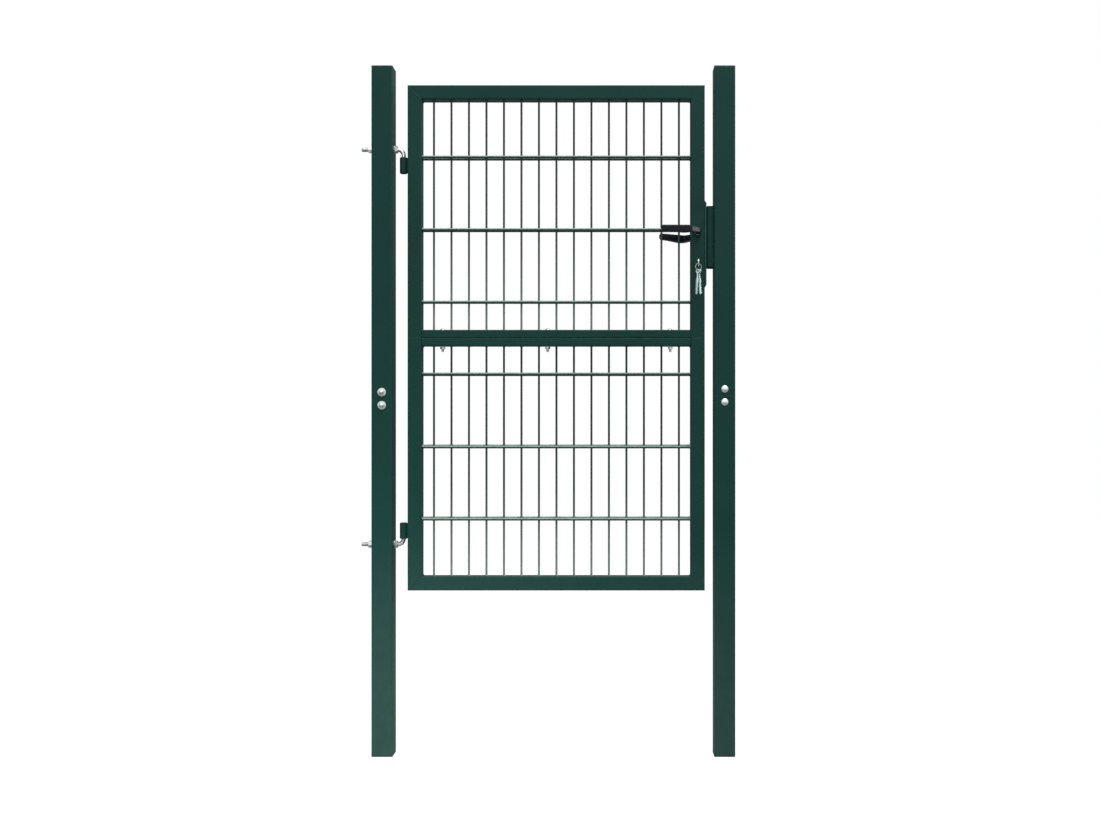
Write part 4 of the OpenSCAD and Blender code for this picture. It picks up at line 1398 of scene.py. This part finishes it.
@dataclass
class Lever:
    """Moulded lever: a collar, a neck that leans out and a grip that leans back."""

    name: str
    front: bool
    collar: Pair = (20.0, 5.0)
    gap: float = 0.5
    neck: Pair = (14.0, 15.0)
    lean: float = 40.0
    lean_length: float = 34.0
    foot_bend: float = 10.0
    root_bend: float = 14.0
    lean_share: float = 0.85
    outreach: float = 70.0
    length: float = 106.0
    grip_depth: Pair = (14.0, 11.0)
    root: Pair = (9.0, -11.5)
    tip: Pair = (12.0, -5.5)
    skirt: float = 4.0
    tip_radius: float = 7.0
    grip_lean: float = 14.0
    tip_turn: float = 80.0
    fullness: float = 0.4
    sides: int = 40
    stile_half: float = 20.0
    sink: float = 2.5
    foot_steps: int = 8
    turn_steps: int = 12
    grip_steps: int = 10
    tip_steps: int = 7

    def build(self, wardrobe: Wardrobe) -> None:
        """Builds and dresses the lever.

        Args:
            wardrobe: Finishes to dress from.
        """
        side = 1.0 if self.front else -1.0
        spindle = middle("lever_spindle")
        place = (Matrix.Translation((spindle.x, -side * self.stile_half, spindle.z))
                 @ Matrix.Diagonal((1, side, 1, 1)))
        blank = Blank(f"{self.name}_moulding", Body.LEVERS, Slot.LEVER)
        sections = self.sections()
        share = 2 * self.skirt / (self.grip_depth[0] * (self.root[0] - self.root[1]))
        share /= 90.0 + self.grip_lean
        hangs = [share * section.depth * section.heading for section in sections]
        blank.add(lofted([section.frame() for section in sections], self.sides, self.fullness, hangs),
                  place)
        collar = disc(self.collar, (0.6, 0.5), (0, 1.6), (0.5, 0.6), (1.5, 0))
        blank.add(collar, place @ aimed((0, -self.gap, 0), FRONT))
        blank.finish(wardrobe, (self.name,), sharp=40.0)

    def sections(self) -> list[LeverSection]:
        """Gives the sections from inside the collar to the rounded tip.

        Returns:
            Sections in their order along the lever.
        """
        deep, half = self.neck[0], self.neck[1] / 2
        lean = math.radians(self.lean)
        straight = (self.outreach - self.foot_bend * math.sin(lean) - self.lean_length * math.cos(lean)
                    - self.root_bend * (1 - math.sin(lean)))
        row = [LeverSection(0, -out, 0, deep, half, -half) for out in (self.sink, straight / 2, straight)]
        for step in range(1, self.foot_steps + 1):
            angle = lean * step / self.foot_steps
            x, y = -self.foot_bend * (1 - math.cos(angle)), -straight - self.foot_bend * math.sin(angle)
            row.append(LeverSection(x, y, math.degrees(angle), deep, half, -half))
        heel = Vector((x - self.lean_length * math.sin(lean), y - self.lean_length * math.cos(lean)))
        end = 90.0 + self.grip_lean
        for step in range(self.turn_steps + 1):
            share = step / self.turn_steps
            heading = blend(self.lean, end, share)
            angle = math.radians(heading)
            bend = Vector((math.cos(angle) - math.cos(lean), math.sin(lean) - math.sin(angle)))
            done = blend(self.lean_share, 1.0, eased(share))
            row.append(LeverSection(*(heel + bend * self.root_bend), heading,
                                    blend(deep, self.grip_depth[0], done),
                                    blend(half, self.root[0], done), blend(-half, self.root[1], done)))
        return row + self.grip_sections(row[-1])

    def grip_sections(self, root: LeverSection) -> list[LeverSection]:
        """Gives the sections of the grip and of its rounded tip.

        Args:
            root: Section where the grip starts.

        Returns:
            The sections that follow it.
        """
        angle = math.radians(root.heading)
        turn_end = math.radians(self.tip_turn)
        run = self.length - self.tip_radius * math.sin(turn_end) * math.sin(angle) + root.x
        row = []
        for step in range(1, self.grip_steps + 1):
            share = step / self.grip_steps
            row.append(LeverSection(root.x - run * share, root.y - run * share / math.tan(angle),
                                    root.heading, blend(*self.grip_depth, share),
                                    blend(self.root[0], self.tip[0], share),
                                    blend(self.root[1], self.tip[1], eased(share))))
        end = row[-1]
        centre, half = (end.top + end.bottom) / 2, (end.top - end.bottom) / 2
        for step in range(1, self.tip_steps + 1):
            turn = turn_end * step / self.tip_steps
            reach, shrink = self.tip_radius * math.sin(turn), math.cos(turn)
            x, y = end.x - reach * math.sin(angle), end.y - reach * math.cos(angle)
            row.append(LeverSection(x, y, root.heading, end.depth * shrink, centre + half * shrink,
                                    centre - half * shrink))
        return row


@dataclass
class Keys:
    """The key in the lock, the split ring that hangs in it and two spare keys."""

    ring_wire: float = 1.8
    ring_yaw: float = 26.0
    ring_turns: Pair = (14.0, 706.0)
    ring_crossing: Pair = (346.0, 374.0)
    ring_steps: int = 104
    ring_sides: int = 12
    ring_fullness: float = 0.7
    ring_slack: float = 0.96
    soften: float = 0.3

    def build(self, wardrobe: Wardrobe) -> None:
        """Builds and dresses the keys and the ring.

        Args:
            wardrobe: Finishes to dress from.
        """
        bodies = {"key": Body.KEY, "left_spare_key": Body.RING, "right_spare_key": Body.RING}
        for node, body in bodies.items():
            blank = Blank(f"{node}_cut", body, Slot.NICKEL)
            blank.add(packed_shape(node, self.soften))
            blank.finish(wardrobe, (node,))
        blank = Blank("split_ring", Body.RING, Slot.RING)
        blank.add(self.split_ring())
        blank.finish(wardrobe, ("key_ring",), sharp=50.0)

    def split_ring(self) -> Shape:
        """Makes the ring of two close turns that cross from side to side at one place.

        Returns:
            The closed ring.
        """
        low, high = span("key_ring")
        centre = middle("key_ring")
        radius = (high.z - low.z - self.ring_wire) / 2
        wide = self.ring_wire / 4
        place = Matrix.Translation(centre) @ Matrix.Rotation(math.radians(self.ring_yaw), 4, "Z")
        frames = []
        start, end = self.ring_crossing
        for step in range(self.ring_steps + 1):
            degrees = blend(*self.ring_turns, step / self.ring_steps)
            share = min(max((degrees - start) / (end - start), 0.0), 1.0)
            side = wide * (2 * eased(share) - 1)
            angle = math.radians(degrees)
            out = Vector((math.sin(angle), 0, math.cos(angle)))
            along = Vector((math.cos(angle), 0, -math.sin(angle)))
            frames.append(place @ aimed(out * radius + Vector((0, side, 0)), along, out)
                          @ Matrix.Diagonal((wide * self.ring_slack, self.ring_wire / 2, 1, 1)))
        return lofted(frames, self.ring_sides, self.ring_fullness)


# ---------------------------------------------------------------- studio


@dataclass(frozen=True)
class Lamp:
    """Square soft lamp turned to its target; mirrored says if gloss shows it."""

    name: str
    place: Point
    target: Point
    size: float
    watts: float
    mirrored: bool = True

    def hang(self) -> None:
        """Hangs the lamp in the scene."""
        light = bpy.data.lights.new(self.name, "AREA")
        light.size = self.size
        light.energy = self.watts
        lamp = bpy.data.objects.new(self.name, light)
        lamp.location = self.place
        lamp.visible_glossy = self.mirrored
        way = Vector(self.target) - Vector(self.place)
        lamp.rotation_euler = way.to_track_quat("-Z", "Y").to_euler()
        bpy.context.scene.collection.objects.link(lamp)


@dataclass
class Studio:
    """White floor, white surroundings, soft lamps and the camera."""

    floor_size: float = 16.0
    background: Colour = (1.0, 1.0, 1.0)
    floor_paint: Colour = (0.25, 0.25, 0.25)
    floor_cloud: float = 0.97
    floor_cloud_scale: float = 3.0
    floor_glow: float = 0.84
    mirrored_floor: float = 0.04
    lit_above: float = 0.75
    lit_right: float = 0.85
    mirrored_low: Pair = (0.85, 0.10)
    mirrored_high: Pair = (1.3, 0.40)
    behind: Pair = (-0.15, 0.15)
    high_up: float = 0.5
    camera_place: Point = (0.6530, -3.4087, 0.9239)
    lens: float = 39.03
    sensor: float = 36.0
    shift: Pair = (-0.0566, 0.0172)
    sight: float = 100.0
    lamps: tuple[Lamp, ...] = (
        Lamp("top_lamp", (1.2, -0.6, 4.6), (0.5, 0.0, 1.0), 3.0, 155.0),
        Lamp("side_lamp", (4.0, 0.9, 2.2), (0.6, 0.0, 1.4), 1.2, 22.0),
        Lamp("low_lamp", (-0.10, -1.2, 0.08), (0.25, 0.0, -0.1), 0.7, 16.0, mirrored=False),
    )

    def build(self) -> None:
        """Builds the whole studio."""
        self.lay_floor()
        self.light_world()
        for lamp in self.lamps:
            lamp.hang()
        self.set_camera()
        bpy.context.scene.view_settings.view_transform = "Standard"

    def lay_floor(self) -> None:
        """Lays a floor that shows white but keeps the shadow of the gate."""
        shape = bmesh.new()
        bmesh.ops.create_grid(shape, x_segments=8, y_segments=8, size=self.floor_size / 2)
        mesh = bpy.data.meshes.new("floor")
        shape.to_mesh(mesh)
        shape.free()
        floor = bpy.data.objects.new("floor", mesh)
        bpy.context.scene.collection.objects.link(floor)
        material = bpy.data.materials.new("floor_paint")
        material.use_nodes = True
        g = Graph(material.node_tree)
        material.node_tree.nodes.clear()
        shaded = tuple(channel * self.floor_cloud for channel in self.floor_paint)
        clouds = g.noise(self.floor_cloud_scale, detail=3.0)
        cloudy = g.mix_colour(clouds, rgba(self.floor_paint), rgba(shaded))
        diffuse = g.add("ShaderNodeBsdfDiffuse", {"Color": cloudy})
        strength = self.shown_strength(g, 0.0, self.mirrored_floor, self.floor_glow)
        glow = g.add("ShaderNodeEmission", {"Color": (1, 1, 1, 1), "Strength": strength})
        both = g.add("ShaderNodeAddShader", {0: diffuse.outputs[0], 1: glow.outputs[0]})
        g.add("ShaderNodeOutputMaterial", {0: both.outputs[0]})
        mesh.materials.append(material)
        log.info("floor laid, %.0f m wide", self.floor_size)

    def shown_strength(self, g: Graph, lit: object, mirrored: object, white: float) -> Socket:
        """Picks how bright the surroundings are for the kind of ray that meets them.

        Args:
            g: Graph to add to.
            lit: Strength for diffuse rays, which light the gate.
            mirrored: Strength for glossy rays, which show the surroundings in paint and metal.
            white: Strength for camera and transmission rays.

        Returns:
            The strength for the ray at hand.
        """
        path = g.add("ShaderNodeLightPath")
        soft = g.mix_value(path.outputs["Is Glossy Ray"], lit, mirrored)
        seen = g.maths("MAXIMUM", path.outputs["Is Camera Ray"], path.outputs["Is Transmission Ray"])
        return g.mix_value(seen, soft, white)

    def light_world(self) -> None:
        """Makes the world white to look at and soft as a light, from above and the right."""
        world = bpy.data.worlds.new("studio_white")
        bpy.context.scene.world = world
        world.use_nodes = True
        g = Graph(world.node_tree)
        world.node_tree.nodes.clear()
        way = g.add("ShaderNodeSeparateXYZ", {0: g.add("ShaderNodeTexCoord").outputs["Generated"]})
        above = g.maths("MULTIPLY", g.maths("MAXIMUM", way.outputs["Z"], 0.0), self.lit_above)
        right = g.maths("MULTIPLY", g.maths("MAXIMUM", way.outputs["X"], 0.0), self.lit_right)
        lit = g.maths("ADD", above, right)
        behind = g.ramp(way.outputs["Y"], *self.behind)
        low, high = (g.mix_value(behind, *pair) for pair in (self.mirrored_low, self.mirrored_high))
        mirrored = g.mix_value(g.ramp(way.outputs["Z"], 0.0, self.high_up), low, high)
        strength = self.shown_strength(g, lit, mirrored, 1.0)
        light = g.add("ShaderNodeBackground", {"Color": rgba(self.background), "Strength": strength})
        g.add("ShaderNodeOutputWorld", {0: light.outputs[0]})

    def set_camera(self) -> None:
        """Sets the camera level, square to the gate, with a small shift for the framing."""
        data = bpy.data.cameras.new("camera")
        data.lens = self.lens
        data.sensor_width = self.sensor
        data.shift_x, data.shift_y = self.shift
        data.clip_end = self.sight
        camera = bpy.data.objects.new("camera", data)
        camera.location = self.camera_place
        camera.rotation_euler = (math.pi / 2, 0.0, 0.0)
        bpy.context.scene.collection.objects.link(camera)
        bpy.context.scene.camera = camera


# ---------------------------------------------------------------- everything


def main() -> None:
    """Builds the studio and the gate's looks in order."""
    logging.basicConfig(level=logging.INFO, format="%(name)s: %(message)s")
    Studio().build()
    wardrobe = Wardrobe()
    wardrobe.dress_packed_nodes()
    parts = [
        PostCaps("hinge_post"), PostCaps("latch_post"),
        SpliceBolts("hinge_post_bolts", heads_front=False), SpliceBolts("latch_post_bolts", heads_front=True),
        KeepWelds(),
        HingeHook("upper_hinge_hook", pin_up=False), HingeHook("lower_hinge_hook", pin_up=True),
        HookNuts("upper_hook_nuts"), HookNuts("lower_hook_nuts"), BarrelWelds(),
        MeshPanel("upper_mesh", rows_from_top=False, stagger=(0.0, 1.5, 3.4), seed=7),
        MeshPanel("lower_mesh", rows_from_top=True, stagger=(1.6, -3.3, -3.1), seed=8),
        FrameWelds(), JoiningBolts(),
        Lever("front_lever", front=True), Lever("rear_lever", front=False), Keys(),
    ]
    for part in parts:
        part.build(wardrobe)


if __name__ == "__main__":
    main()
